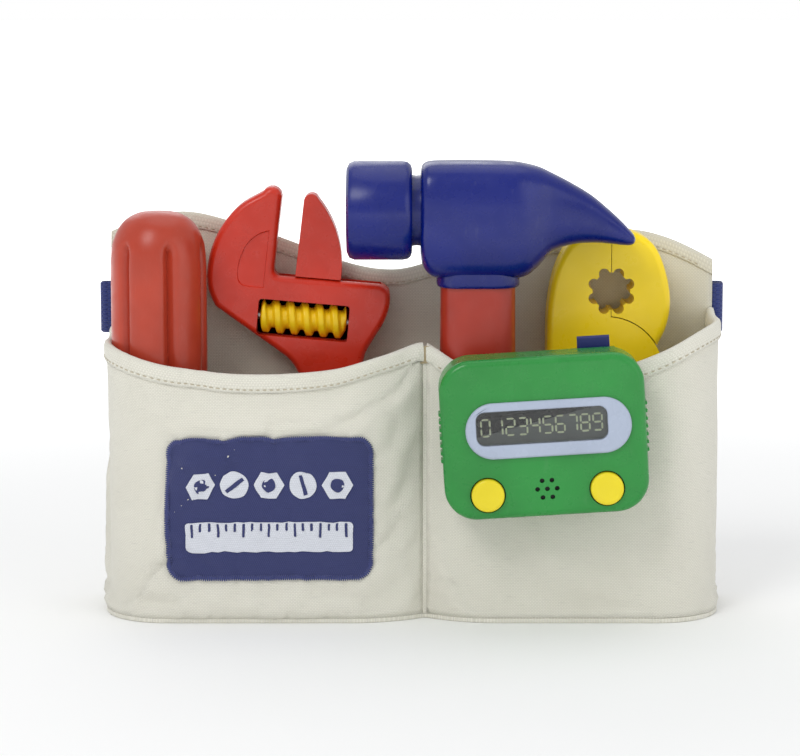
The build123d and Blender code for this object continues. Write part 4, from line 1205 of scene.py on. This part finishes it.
        def on_label(u: float, v: float, proud: float) -> Vector:
            """Point of the label's face; u runs right and v up from its middle."""
            return panel.at(middle + u, self.label_z + v, proud)

        def wrapped(outlines: Sequence[Sequence[Point2]], low: float, high: float, name: str,
                    finish: Finish, replaces: Sequence[str] = ()) -> bpy.types.Object:
            """Plates cut to outlines and laid on the pocket wall."""
            bm = joined([slab(Upright(0, 0), outline, -high, -low) for outline in outlines])
            step = 3.0
            for k, span in ((0, self.label_width), (2, self.label_height)):
                normal = Vector((1 - k / 2, 0, k / 2))
                for i in range(-int(span / 2 / step), int(span / 2 / step) + 1):
                    bmesh.ops.bisect_plane(bm, geom=[*bm.verts, *bm.edges, *bm.faces], dist=ON_PLANE,
                                           plane_co=normal * i * step * MM, plane_no=normal)
            layer = bm.loops.layers.uv.verify()
            for face in bm.faces:
                for loop in face.loops:
                    loop[layer].uv = (loop.vert.co.x, loop.vert.co.z)
            for vert in bm.verts:
                flat = vert.co / MM
                vert.co = on_label(flat.x, flat.z, -flat.y) * MM
            return Workshop.piece(name, bm, finish, "pouch", "label_weave", replaces, 50.0, False)

        outline = rounded_box(self.label_width, self.label_height, self.label_corner)
        patch = wrapped([outline], 0.9, 1.9, "label_patch_weave", LABEL_CLOTH, ("label_patch",))
        rim = even_steps(rounded_box(self.label_width - 1.0, self.label_height - 1.0,
                                     self.label_corner - 0.5, step=0.8), 0.9)
        spots = []
        for i, (u, v) in enumerate(rim):
            du, dv = (b - a for a, b in zip(rim[i - 1], rim[(i + 1) % len(rim)]))
            here = on_label(u, v, 1.95)
            out = on_label(u + dv, v - du, 1.95) - here
            normal = panel.normal((middle + u) / line.length, 0.5)
            spots.append((here, out, normal))
        Workshop.sewn("label_overlock", stitches(spots, 3.0, 0.5), EDGE_THREAD, "label_weave")
        pale = [rounded_box(78.0, 14.0, 1.5, (0.0, -13.5))]
        dark = []
        for i in range(19):
            length = 6.5 if i % 3 == 0 else 3.6
            dark.append(rounded_box(1.1, length, 0.4, (-36.0 + 4.0 * i, -7.0 - length / 2), 0.4))
        for number, u in enumerate((-32.0, -16.0, 0.0, 16.0, 32.0)):
            if number % 2:
                pale.append(disc(6.4, (u, 11.0)))
                slot = Upright(u, 11.0, 35.0 * number)
                corners = ((-4.8, -0.9), (4.8, -0.9), (4.8, 0.9), (-4.8, 0.9))
                dark.append([tuple((slot.at(a, b, 0.0) / MM).xz) for a, b in corners])
            else:
                pale.append(disc(7.2, (u, 11.0), 6))
                dark.append(disc(3.2, (u, 11.0), 24))
        wrapped(pale, 1.8, 2.4, "label_motif", LABEL_PALE)
        wrapped(dark, 2.2, 2.6, "label_motif_marks", LABEL_CLOTH)

    def build(self) -> None:
        """Make the whole pouch."""
        left = self.pocket(Side.LEFT)
        right = self.pocket(Side.RIGHT)
        self.back()
        self.bottom()
        self.divider()
        self.centre_seam(left, right)
        self.label(left)


# Strap
@dataclass
class Strap:
    """Waist strap: webbing along the back, folded back behind itself, with a buckle."""

    middle: float = 142.0
    width: float = 25.0
    thick: float = 1.7
    band_y: float = 36.4
    fold_y: float = 38.7
    strap_y: float = 41.0
    stitch_y: float = 37.35
    bend_from: float = 37.5
    bend_to: float = 39.9
    fold_x: float = 149.5
    end_x: float = 40.0

    def ribbon(self, route: Sequence[Point2], name: str, replaces: Sequence[str],
               body: str | None) -> bpy.types.Object:
        """Webbing along a plan route, with rounded woven edges.

        Args:
            route: points of its middle line in plan.
            name: name of the piece.
            replaces: nodes that it stands for.
            body: body that it moves with, or None.

        Returns:
            The new object.
        """
        knots = [Vector((x, y, 0)) for x, y in route]
        spans = [0.0]
        for a, b in zip(knots, knots[1:]):
            spans.append(spans[-1] + (b - a).length)
        half, edge = self.thick / 2, self.width / 2
        section = [(-half, 0.9 - edge), (0.0, -edge), (half, 0.9 - edge), (half, 0.0),
                   (half, edge - 0.9), (0.0, edge), (-half, edge - 0.9), (-half, 0.0)]
        closed = [*section, section[0]]
        count = len(knots) - 1

        def place(s: float, t: float) -> Vector:
            """Point of the ribbon's skin."""
            i = round(s * count)
            ahead = (knots[min(count, i + 1)] - knots[max(0, i - 1)]).normalized()
            out = Vector((ahead.y, -ahead.x, 0))
            a, b = closed[round(t * 8)]
            wave = 0.12 * noise(Vector((spans[i] * 0.05, 0.3, 9.0)))
            return knots[i] + out * (a + wave) + Vector((0, 0, self.middle + b))

        def texture(s: float, t: float) -> Point2:
            """UV place of the ribbon's skin."""
            return closed[round(t * 8)][1] * MM + (0.06 if t > 0.5 else 0.0), spans[round(
                s * count)] * MM

        bm = mapped_grid(count, 8, place, texture, True)
        thing = Workshop.piece(name, bm, STRAP_CLOTH, body, "webbing", replaces, 50.0, False)
        return thing

    def half_route(self, sign: int) -> list[Point2]:
        """Plan route of one half: along the band, round the fold and back to the buckle."""
        radius = (self.strap_y - self.band_y) / 2
        band = [(sign * x, self.band_y) for x in range(0, round(self.fold_x), 3)]
        bend = [(sign * (self.fold_x + radius * math.sin(math.pi * i / 12) * 0.9),
                 self.fold_y - radius * math.cos(math.pi * i / 12)) for i in range(13)]
        back = [(sign * x, self.strap_y) for x in range(146, round(self.end_x), -3)]
        return chain(band, bend, back)

    def loops(self) -> None:
        """Make the four canvas belt loops, sewn to the back panel."""
        half = self.width / 2
        section = [(35.2, -half - 9.6), (36.6, -half - 9.6), (36.7, -half - 2.4),
                   (38.5, -half - 1.2), (39.0, -half + 1.0), (39.0, 0.0), (39.0, half - 1.0),
                   (38.5, half + 1.2), (36.7, half + 2.4), (36.6, half + 9.6), (35.2, half + 9.6),
                   (35.2, half + 1.2), (37.5, half + 0.3), (37.6, 0.0), (37.5, -half - 0.3),
                   (35.2, -half - 1.2)]
        closed = [*section, section[0]]
        for number, x in enumerate((-124, -60, 60, 124), start=1):
            def place(s: float, t: float, x: float = x) -> Vector:
                """Point of the loop's skin."""
                y, z = closed[round(t * 16)]
                return Vector((x - 10 + 20 * s, y, self.middle + z))

            bm = mapped_grid(8, 16, place, lambda s, t: (s * 0.02, t * 0.09), True)
            # painted shade: the loops take the darker copy of the canvas
            thing = Workshop.piece(f"belt_loop_{number}_canvas", bm, CANVAS_SHADED_BACK, "pouch", "canvas",
                                   (f"belt_loop_{number}",), 60.0, False)
            rows = [(Vector((x - 8.4 + i * 2.8, 36.75, self.middle + z + dz)),
                     Vector((1, 0, math.copysign(0.3, dz))), Vector((0, 1, 0)))
                    for z in (-half - 6.0, half + 6.0) for dz in (-1.6, 1.6) for i in range(7)]
            Workshop.sewn(f"belt_loop_{number}_stitches", stitches(rows, 2.2, 0.34), SEAM_THREAD)

    def box_stitch(self) -> None:
        """Sew the band to the back panel: a square of stitches with a cross in it."""
        spots = [(x, z, 0.0) for z in (-8.0, 8.0) for x in range(-9, 10, 3)]
        upright = [(x, z) for x in (-9.0, 9.0) for z in range(-6, 7, 3)]
        cross = [(i * 2.6, i * 2.6 * slope, slope) for i in range(-3, 4) for slope in (-0.88, 0.88)]
        outwards = Vector((0, 1, 0))
        box = [(Vector((x, self.stitch_y, self.middle + z)), Vector((1, 0, slope)), outwards)
               for x, z, slope in spots + cross]
        box += [(Vector((x, self.stitch_y, self.middle + z)), Vector((0, 0, 1)), outwards)
                for x, z in upright]
        Workshop.sewn("band_box_stitch", stitches(box, 2.3, THREAD), TACK_THREAD, "webbing")

    def build(self) -> None:
        """Make both halves, the tail, the loops and the stitched joins."""
        for word, sign in (("left", -1), ("right", 1)):
            nodes = (f"strap_{word}", "waist_band") if sign < 0 else (f"strap_{word}",)
            half = self.ribbon(self.half_route(sign), f"strap_{word}_webbing", nodes, None)
            start, end = ((sign * self.fold_x * MM, y * MM, self.middle * MM)
                          for y in (self.bend_from, self.bend_to))
            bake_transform(half)
            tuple(start)
            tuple(end)
        tail = [(106 - 2.5 * i, 43.0 + 0.2 * math.sin(i * 0.5)) for i in range(21)]
        self.ribbon(tail, "strap_tail_webbing", ("strap_tail",), "right_strap")
        self.box_stitch()
        self.loops()
        for node, body, radius in (("buckle_socket", "left_strap", 0.7),
                                   ("buckle_plug", "right_strap", 0.6),
                                   ("tri_glide", "right_strap", 0.5)):
            Workshop.soften(node, BLACK, body, "buckle_plastic", radius)


# Tools
@dataclass
class Screwdriver:
    """Toy screwdriver with a fat lobed handle, moulded in two shells."""

    x: float = -120.3
    neck: float = 84.0
    top: float = 192.0
    radius: float = 22.8
    flutes: int = 6
    first_flute: float = -72.0

    def handle(self) -> bmesh.types.BMesh:
        """Make the whole handle: a turned profile with rounded panels between deep grooves."""
        profile = smooth_line([(0.1, self.neck), (10, self.neck), (16.4, self.neck + 0.8),
                               (19.2, self.neck + 6), (21.6, self.neck + 14),
                               (self.radius, self.neck + 28), (self.radius, self.top - 40),
                               (22.6, self.top - 22), (20.9, self.top - 13), (16.6, self.top - 5.4),
                               (9.5, self.top - 1.0), (0.1, self.top)], 2.0)
        bm = turned((Vector((self.x + r, 0.0, z)) for r, z in profile), (self.x * MM, 0.0, 0.0),
                    (0, 0, 1), 144)
        for vert in bm.verts:
            place = vert.co / MM - Vector((self.x, 0, 0))
            reach = math.hypot(place.x, place.y)
            if reach < 6:
                continue
            pitch = 360 / self.flutes
            turn = math.degrees(math.atan2(place.y, place.x)) - self.first_flute
            off = ((turn + pitch / 2) % pitch) - pitch / 2
            away = abs(math.radians(off)) * reach
            deep = between(place.z, self.neck + 6, self.neck + 16)
            deep *= 1 - between(place.z, self.top - 19 - 0.5 * away, self.top - 13)
            cut = 3.6 * math.exp(-(away / 1.9) ** 2) + 1.0 * math.exp(-(away / 5.5) ** 2)
            vert.co -= Vector((place.x, place.y, 0)).normalized() * cut * deep * MM
        return bm

    def build(self) -> None:
        """Make both shells and dress the shaft and the collar."""
        for word, shell in two_shells(self.handle(), 0.0):
            Workshop.piece(f"driver_{word}_handle", shell, RED_DRIVER, "screwdriver", "driver_red",
                           (f"driver_{word}_shell",), 45.0, False)
        for node, radius in (("driver_collar", 0.8), ("driver_shaft", 0.4)):
            Workshop.soften(node, GREY_SHAFT, "screwdriver", "driver_grey", radius)


@dataclass
class Hammer:
    """Toy claw hammer: a blue head and a red handle, each moulded in two shells."""

    y: float = -9.0
    head_z: float = 192.8
    collar_x: float = 31.0
    collar_z: float = 157.2
    handle_top: float = 164.0

    def head(self) -> bmesh.types.BMesh:
        """Make the whole head: block and claw in one sweep, with a poll, a neck and a collar."""
        # x, top, bottom, half depth, squareness
        stations = [(3.9, 210.5, 171.5, 17.0, 3.2), (4.5, 213.4, 168.6, 19.6, 3.4),
                    (6.2, 215.2, 165.2, 21.3, 3.6), (9.5, 216.0, 162.4, 22.0, 3.6),
                    (14.5, 216.2, 161.3, 22.1, 3.6), (26.0, 216.3, 161.0, 22.2, 3.6),
                    (47.0, 215.8, 161.3, 21.9, 3.6), (54.0, 214.7, 162.8, 20.2, 3.5),
                    (60.0, 213.1, 167.6, 17.2, 3.3), (65.0, 210.8, 173.4, 15.2, 3.1),
                    (74.0, 206.2, 176.8, 13.4, 3.0), (84.0, 200.2, 177.9, 12.4, 3.0),
                    (93.0, 192.9, 177.4, 11.9, 3.0), (99.0, 187.3, 176.8, 11.6, 3.0),
                    (102.4, 183.7, 176.8, 10.9, 2.9), (104.0, 181.8, 177.6, 9.4, 2.8),
                    (104.6, 180.4, 178.8, 6.0, 2.6)]
        tables = [[(row[0], row[k]) for row in stations] for k in (1, 2, 3, 4)]
        first, last = stations[0][0], stations[-1][0]

        def place(s: float, t: float) -> Vector:
            """Point of the block and claw."""
            ease = 0.5 - 0.5 * math.cos(math.pi * s)
            x = first + (last - first) * (0.55 * ease + 0.45 * s)
            high, low, depth, square = (table_value(table, x) for table in tables)
            out, up = squared(t, square)
            return Vector((x, self.y + depth * out, (high + low) / 2 + (high - low) / 2 * up))

        block = mapped_grid(72, 72, place, None, True)
        poll = [(0.05, -31.0), (14.0, -31.0), (19.6, -30.8), (22.2, -29.6), (23.2, -27.2),
                (23.2, -16.0), (23.2, -4.6), (22.8, -2.2), (21.6, -0.7), (19.6, 0.0), (0.05, 0.0)]
        neck = [(0.05, -2.0), (17.0, -2.0), (16.4, 2.0), (17.0, 8.0), (0.05, 8.0)]
        centre = Vector((0, self.y, self.head_z))
        rounds = [turned((Vector((x, self.y, self.head_z + r)) for r, x in profile), centre * MM,
                         (1, 0, 0), 96) for profile in (poll, neck)]
        head = cut_away(block, [*rounds, self.collar()], "UNION")
        notch = slab(Upright(0, 0), [(74, 160), (120, 160), (120, 230), (74, 230)], -5.0, 5.0)
        for vert in notch.verts:
            wide = between(vert.co.x / MM, 73, 121)
            vert.co.y = (self.y + math.copysign(0.1 + 5.0 * wide, vert.co.y)) * MM
        head = cut_away(head, [notch])
        round_edges(head, 1.1, lambda at: at.x > 0.0745 and abs(at.y / MM - self.y) < 5.3
                    and at.x < 0.1, 3, 50.0)
        return head

    def collar(self) -> bmesh.types.BMesh:
        """Make the skirt of the head that takes the handle."""
        outline = rounded_box(39.0, 33.0, 12.0, (self.collar_x, self.y))
        bm = extruded((Vector((x, y, self.collar_z)) * MM for x, y in outline),
                      Vector((0, 0, 14.0)) * MM)
        round_edges(bm, 1.8, lambda at: at.z < (self.collar_z + 0.1) * MM, 4)
        return bm

    def handle(self) -> bmesh.types.BMesh:
        """Make the whole handle: a rounded grip that swells towards its foot, with ring grooves."""
        heights = [3.0, 3.6, 5.5, 9.0, *range(14, 100, 2), *range(100, 164, 4), self.handle_top]

        def place(s: float, t: float) -> Vector:
            """Point of the handle's skin."""
            z = heights[round(s * (len(heights) - 1))]
            swell = 1 - between(z, 3, self.handle_top)
            wide, deep = 17.6 + 1.7 * swell, 14.7 + 1.2 * swell
            foot = between(z, 0.0, 7.0) ** 0.5
            groove = 0.7 * max(0.0, math.cos((z - 20) * math.tau / 12)) ** 6
            groove *= between(z, 16, 22) * (1 - between(z, 84, 92))
            size = 0.80 + 0.20 * foot - groove / 17
            right, back = squared(t, 2.9)
            return Vector((self.collar_x + size * wide * right, self.y + size * deep * back, z))

        return mapped_grid(len(heights) - 1, 72, place, None, True)

    def build(self) -> None:
        """Make the four shells and dress the screws."""
        for whole, finish, slot, nodes in (
                (self.head(), BLUE, "hammer_blue", "hammer_head"),
                (self.handle(), RED_HANDLE, "handle_red", "hammer_handle")):
            for word, shell in two_shells(whole, self.y):
                if word == "back":
                    shell = self.screw_wells(shell, nodes)
                Workshop.piece(f"{nodes}_{word}_shell", shell, finish, "hammer", slot,
                               (f"{nodes}_{word}",), 42.0, False)
        Workshop.dress(STEEL, "hammer_head_screws", "hammer_handle_screws")

    def screw_wells(self, shell: bmesh.types.BMesh, part: str) -> bmesh.types.BMesh:
        """Sink the wells of the screws into a back shell."""
        spots = [(12, 205), (52, 205), (12, 178)] if part == "hammer_head" else [
            (self.collar_x, z) for z in (130, 75, 20)]
        depth = 17.0 if part == "hammer_head" else 12.0
        return cut_away(shell, [slab(Upright(0, 0), disc(SCREW_WELL, spot, 24), self.y + depth - 0.1,
                                     self.y + 40) for spot in spots])


@dataclass
class Wrench:
    """Toy adjustable wrench: a red body in two shells, a sliding jaw and a yellow worm."""

    middle: float = 23.0
    depth: float = 17.0
    plane: Upright = Upright(-66.6, 159.7, -5.0)
    window: tuple[float, float, float, float] = (-6.0, 38.0, -29.3, -11.7)
    worm_v: float = -20.5
    worm_radius: float = 8.3
    pitch: float = 7.0

    def outline(self) -> list[Point2]:
        """Outline of the fixed jaw, the body and the handle."""
        return chain(
            arc((1.1, 38), (-3.3, 42.3), (-8.3, 39.5)),
            smooth_line([(-8.3, 39.5), (-18.5, 32.4), (-26.0, 22.5), (-30.6, 11.0), (-32, -1),
                         (-30.6, -10), (-26.7, -17.3)], 2.5),
            smooth_line([(-26.7, -17.3), (-18, -22.6), (3, -35.1), (11.5, -40.8), (16.4, -47.5),
                         (21, -58)], 3.0),
            [(30.0, -82.0), (40.0, -111.0)],
            arc((51.0, -142.6), (66.1, -150.3), (73.8, -135.2), 2.5),
            [(62.0, -97.0), (54.0, -70.8)],
            smooth_line([(48.5, -52.5), (46.6, -43), (47.2, -34.5), (50.6, -27.0), (55.2, -17.5),
                         (57, -9), (55.8, -2.6), (51.5, 0)], 2.5),
            [(40, 0), (26, 0), (12, 0)],
            arc((3.2, 0.0), (0.95, 0.95), (0.02, 3.2), 0.8),
            [(0.35, 14), (0.7, 26)])

    def body(self) -> bmesh.types.BMesh:
        """Make the whole body with its window and the channel of the jaw's neck."""
        low, high = self.middle - self.depth / 2, self.middle + self.depth / 2
        bm = slab(self.plane, self.outline(), low, high)
        ends = (low * MM + 1e-6, high * MM - 1e-6)
        bevelled(bm, [e for e in bm.edges if all(v.co.y < ends[0] for v in e.verts)
                      or all(v.co.y > ends[1] for v in e.verts)], 3.2, 6, False)
        left, right, bottom, top = self.window
        hole = slab(self.plane, rounded_box(right - left, top - bottom, 1.6,
                                            ((left + right) / 2, (top + bottom) / 2), 0.8),
                    low - 5, high + 5)
        channel = slab(self.plane, [(2.5, -11.0), (52.0, -11.0), (52.0, 6.0), (2.5, 6.0)],
                       self.middle - 4.3, self.middle + 4.3)
        return cut_away(bm, [hole, channel])

    def worm(self) -> bmesh.types.BMesh:
        """Make the worm: a real thread, right through its length, with worn crests."""
        left, right = self.window[:2]
        length = right - left - 2.0

        def place(s: float, t: float) -> Vector:
            """Point of the thread."""
            along = length * s
            angle = math.tau * t
            wave = 0.5 + 0.5 * math.cos(math.tau * (along + self.pitch * t) / self.pitch)
            crest = between(wave, 0.12, 0.80)
            end = between(min(along, length - along), 0.0, 1.2)
            radius = (self.worm_radius - 2.7 + 2.6 * crest) * (0.72 + 0.28 * end)
            if s in (0.0, 1.0):
                radius = 2.4
            point = self.plane.at(left + 1.0 + along, self.worm_v + radius * math.cos(angle),
                                  self.middle + radius * math.sin(angle))
            return point / MM

        return mapped_grid(126, 56, place, None, True)

    def panel(self) -> bmesh.types.BMesh:
        """Make the cutter of the shallow panel in the face of the fixed jaw."""
        edge = smooth_line([(-3.8, 21.0), (-8.8, 18.8), (-13.6, 14.0), (-16.6, 6.0),
                            (-17.0, -1.5), (-15.2, -5.0), (-11.5, -6.0), (-4.4, -6.0)], 1.5)
        face = self.middle - self.depth / 2
        bm = slab(self.plane, edge, face - 3.0, face + 0.7)
        for vert in bm.verts:
            if vert.co.y < (face - 2.0) * MM:
                middle = self.plane.at(-10.0, 6.0, vert.co.y / MM)
                vert.co = middle + (vert.co - middle) * 1.22
        return bm

    def build(self) -> None:
        """Make the shells, the jaw and the worm, and dress the screws and the pin."""
        cutters = {"front": [self.panel()],
                   "back": [slab(self.plane, disc(SCREW_WELL, spot, 24), self.middle + 6.4, 50.0)
                            for spot in ((-21, 6), (50, -14), (47, -92))]}
        for word, shell in two_shells(self.body(), self.middle):
            Workshop.piece(f"wrench_{word}_body", cut_away(shell, cutters[word]), RED_WRENCH,
                           "wrench", "wrench_red", (f"wrench_{word}_shell",), 35.0)
        Workshop.piece("worm_thread", self.worm(), YELLOW_WORM, "worm", "tool_yellow", ("worm",),
                       50.0, False)
        Workshop.soften("wrench_jaw", RED_WRENCH, "jaw", "wrench_red", 1.3, 4)
        Workshop.dress(STEEL, "wrench_screws", "worm_pin")


@dataclass
class Pliers:
    """Toy pliers: two yellow halves on a pivot, with a scalloped grip hole."""

    plane: Upright = Upright(93.0, 112.0)
    front: float = 9.2
    back: float = 31.2
    meeting: float = 2.5
    edge: float = 3.4

    def half(self, node: str, side: int, jaw: Sequence[Point2]) -> bmesh.types.BMesh:
        """Make one half with its outer edge well rounded.

        Args:
            node: node that the half stands for.
            side: -1 for the half whose jaw is on the left, 1 for the other.
            jaw: points of the jaw's outer edge, from its tip to the lap joint.

        Returns:
            A new bmesh.
        """
        far = 60.0
        mould = slab(self.plane, chain([(-far * side, 69.5)], smooth_line(jaw, 2.0), [
            (far * side, -14.0), (far * side, -130.0), (-far * side, -130.0)]), self.front,
                     self.back)
        bevelled(mould, [e for e in mould.edges if abs(e.verts[0].co.y - e.verts[1].co.y) < 1e-6],
                 self.edge, 6, False)
        return cut_away(node_copy(node, 1.0), [mould], "INTERSECT")

    def build(self) -> None:
        """Make both halves and the pivot with rounded edges."""
        left = [(self.meeting - 0.15, 69.5), (-9, 68.6), (-18, 63), (-24.5, 50), (-27.6, 34),
                (-28.2, 18), (-28.2, 0)]
        right = [(self.meeting + 0.15, 69.5), (13, 69), (22.5, 63), (28, 52), (31, 36.8),
                 (29.4, 24), (25, 14)]
        for node, body, side, jaw in (("plier_left", "pliers", -1, left),
                                      ("plier_right", "plier_right_half", 1, right)):
            Workshop.piece(node + "_moulded", self.half(node, side, jaw), YELLOW, body,
                           "tool_yellow", (node,), 30.0)
        Workshop.soften("plier_pivot", YELLOW, "pliers", "tool_yellow", 0.7, 3)


# Pager
@dataclass
class Pager:
    """Toy pager with a clip, two buttons and a display of plain digits."""

    plane: Upright = Upright(60.3, 93.3, 3.5)
    digit_height: float = 7.6
    digit_width: float = 4.0
    digit_pitch: float = 5.7

    def digits(self) -> bmesh.types.BMesh:
        """Make ten seven-bar digits, 0 to 9, on the display."""
        bars = {"top": (0, 1, True), "middle": (0, 0, True), "bottom": (0, -1, True),
                "upper_left": (-1, 0.5, False), "upper_right": (1, 0.5, False),
                "lower_left": (-1, -0.5, False), "lower_right": (1, -0.5, False)}
        missing = ({"middle"}, {"top", "middle", "bottom", "upper_left", "lower_left"},
                   {"upper_left", "lower_right"}, {"upper_left", "lower_left"},
                   {"top", "bottom", "lower_left"}, {"upper_right", "lower_left"},
                   {"upper_right"}, {"middle", "bottom", "upper_left", "lower_left"}, set(),
                   {"lower_left"})
        parts = []
        for number, absent in enumerate(missing):
            centre = -1.0 + (number - 4.5) * self.digit_pitch
            for name, (du, dv, level) in bars.items():
                if name in absent:
                    continue
                u = centre + du * self.digit_width / 2
                v = 5.4 + dv * self.digit_height / 2
                long = (self.digit_width if level else self.digit_height / 2) / 2 - 0.35
                shape = [(-long, 0.0), (-long + 0.4, 0.42), (long - 0.4, 0.42), (long, 0.0),
                         (long - 0.4, -0.42), (-long + 0.4, -0.42)]
                shape = [(u + a, v + b) if level else (u + b, v + a) for a, b in shape]
                parts.append(slab(self.plane, shape, -58.75, -58.4))
        return joined(parts)

    def ribs(self) -> bmesh.types.BMesh:
        """Make the finger ribs on both sides of the case."""
        parts = []
        for side in (-1, 1):
            for i in range(7):
                v = -9.0 + 3.6 * i
                bar = slab(self.plane, rounded_box(1.6, 1.7, 0.5, (side * 47.0, v), 0.5), -58.2,
                           -49.0)
                round_edges(bar, 0.4, lambda at: True, 2, 40.0, False)
                parts.append(bar)
        return joined(parts)

    def button(self, u: float, name: str, body: str) -> None:
        """Make one round button with a dished top."""
        profile = [(0.05, -63.0), (3.0, -63.05), (5.4, -63.3), (6.6, -63.35), (7.3, -63.0),
                   (7.6, -62.2), (7.6, -57.0), (0.05, -57.0)]

        def place(s: float, t: float) -> Vector:
            """Point of the button's skin."""
            r, y = profile[round(s * (len(profile) - 1))]
            angle = math.tau * t
            return self.plane.at(u + r * math.cos(angle), -25.4 + r * math.sin(angle), y) / MM

        bm = mapped_grid(len(profile) - 1, 64, place, None, True)
        Workshop.piece(name + "_cap", bm, BUTTON_YELLOW, body, "tool_yellow", (name,), 50.0)

    def build(self) -> None:
        """Make the case, the display and the buttons, and dress what is inside."""
        for node, finish, body, slot, radius, segments in (
                ("pager_front_shell", GREEN, "pager", "pager_green", 0.45, 2),
                ("pager_back_shell", GREEN, "pager", "pager_green", 0.35, 2),
                ("battery_door", GREEN, "battery_door", "pager_green", 0.4, 2),
                ("display_bezel", BEZEL, "pager", "bezel_silver", 0.8, 3),
                ("belt_clip", NAVY, "clip", "clip_navy", 0.6, 3)):
            Workshop.soften(node, finish, body, slot, radius, segments)
        Workshop.piece("display_digits", self.digits(), DIGIT, "pager", "display_grey")
        Workshop.piece("pager_ribs", self.ribs(), GREEN, "pager", "pager_green")
        self.button(-27.3, "button_left", "left_button")
        self.button(27.3, "button_right", "right_button")
        for finish, nodes in ((LENS, ("display_window",)), (DISPLAY, ("display_panel",)),
                              (BOARD, ("circuit_board",)), (SPEAKER_BLACK, ("speaker",)),
                              (CELL, ("batteries",)), (RUBBER, ("button_pads",)),
                              (STEEL, ("battery_contacts", "pager_screws", "clip_pin"))):
            Workshop.dress(finish, *nodes)


# Studio
@dataclass(frozen=True)
class Lamp:
    """Soft area light aimed at the middle of the object."""

    name: str
    place: tuple[float, float, float]
    size: float
    power: float

    def build(self, target: Vector) -> None:
        """Hang the lamp and turn it to the target."""
        light = bpy.data.lights.new(self.name, "AREA")
        light.energy = self.power
        light.shape = "DISK"
        light.size = self.size
        thing = placed(self.name, light)
        thing.location = self.place
        thing.rotation_euler = (target - Vector(self.place)).to_track_quat("-Z", "Y").to_euler()


@dataclass
class Studio:
    """Pale floor, soft light and the camera."""

    target: tuple[float, float, float] = (-0.0057, 0.0, 0.112)
    distance: float = 1.3
    elevation: float = 8.0
    field: float = 0.382
    ambient: float = 0.72
    film_width: float = 36.0
    lamps: tuple[Lamp, ...] = (
        Lamp("key", (-0.9, -1.5, 1.7), 1.0, 15.0),
        Lamp("fill", (1.5, -1.2, 0.8), 1.4, 5.0),
        Lamp("overhead", (0.1, 0.3, 1.9), 1.6, 5.0),
        Lamp("back", (-0.4, 1.8, 1.2), 1.4, 5.0))

    def build(self) -> None:
        """Set the stage."""
        bm = bmesh.new()
        bmesh.ops.create_circle(bm, cap_ends=True, segments=64, radius=30.0)
        floor = placed("studio_floor", mesh_of("studio_floor", bm))
        floor.data.materials.append(PAPER.material())
        self.sky()
        target = Vector(self.target)
        for lamp in self.lamps:
            lamp.build(target)
        angle = math.radians(self.elevation)
        camera = bpy.data.cameras.new("camera")
        camera.sensor_width = self.film_width
        camera.lens = self.film_width * self.distance / self.field
        camera.clip_end = 80.0
        eye = target + self.distance * Vector((0.0, -math.cos(angle), math.sin(angle)))
        thing = placed("camera", camera)
        thing.location = eye
        thing.rotation_euler = (target - eye).to_track_quat("-Z", "Y").to_euler()
        bpy.context.scene.camera = thing
        bpy.context.scene.view_settings.view_transform = "Standard"

    def sky(self) -> None:
        """Surround the stage with white paper that lights it softly."""
        world = bpy.data.worlds.new("studio")
        world.use_nodes = True
        nodes, links = world.node_tree.nodes, world.node_tree.links
        light = nodes["Background"]
        light.inputs["Color"].default_value = (0.94, 0.95, 0.97, 1.0)
        light.inputs["Strength"].default_value = self.ambient
        backdrop = nodes.new("ShaderNodeBackground")
        backdrop.inputs["Color"].default_value = (1.0, 1.0, 1.0, 1.0)
        mix = nodes.new("ShaderNodeMixShader")
        links.new(nodes.new("ShaderNodeLightPath").outputs["Is Camera Ray"], mix.inputs[0])
        links.new(light.outputs[0], mix.inputs[1])
        links.new(backdrop.outputs[0], mix.inputs[2])
        links.new(mix.outputs[0], nodes["World Output"].inputs["Surface"])
        bpy.context.scene.world = world


def main() -> None:
    """Build the sub-assemblies in order."""
    logging.basicConfig(level=logging.INFO, format="%(name)s: %(message)s")
    Studio().build()
    for part in (Pouch(), Strap(), Screwdriver(), Wrench(), Hammer(), Pliers(), Pager()):
        part.build()
        LOG.info("%s done", type(part).__name__)


if __name__ == "__main__":
    main()
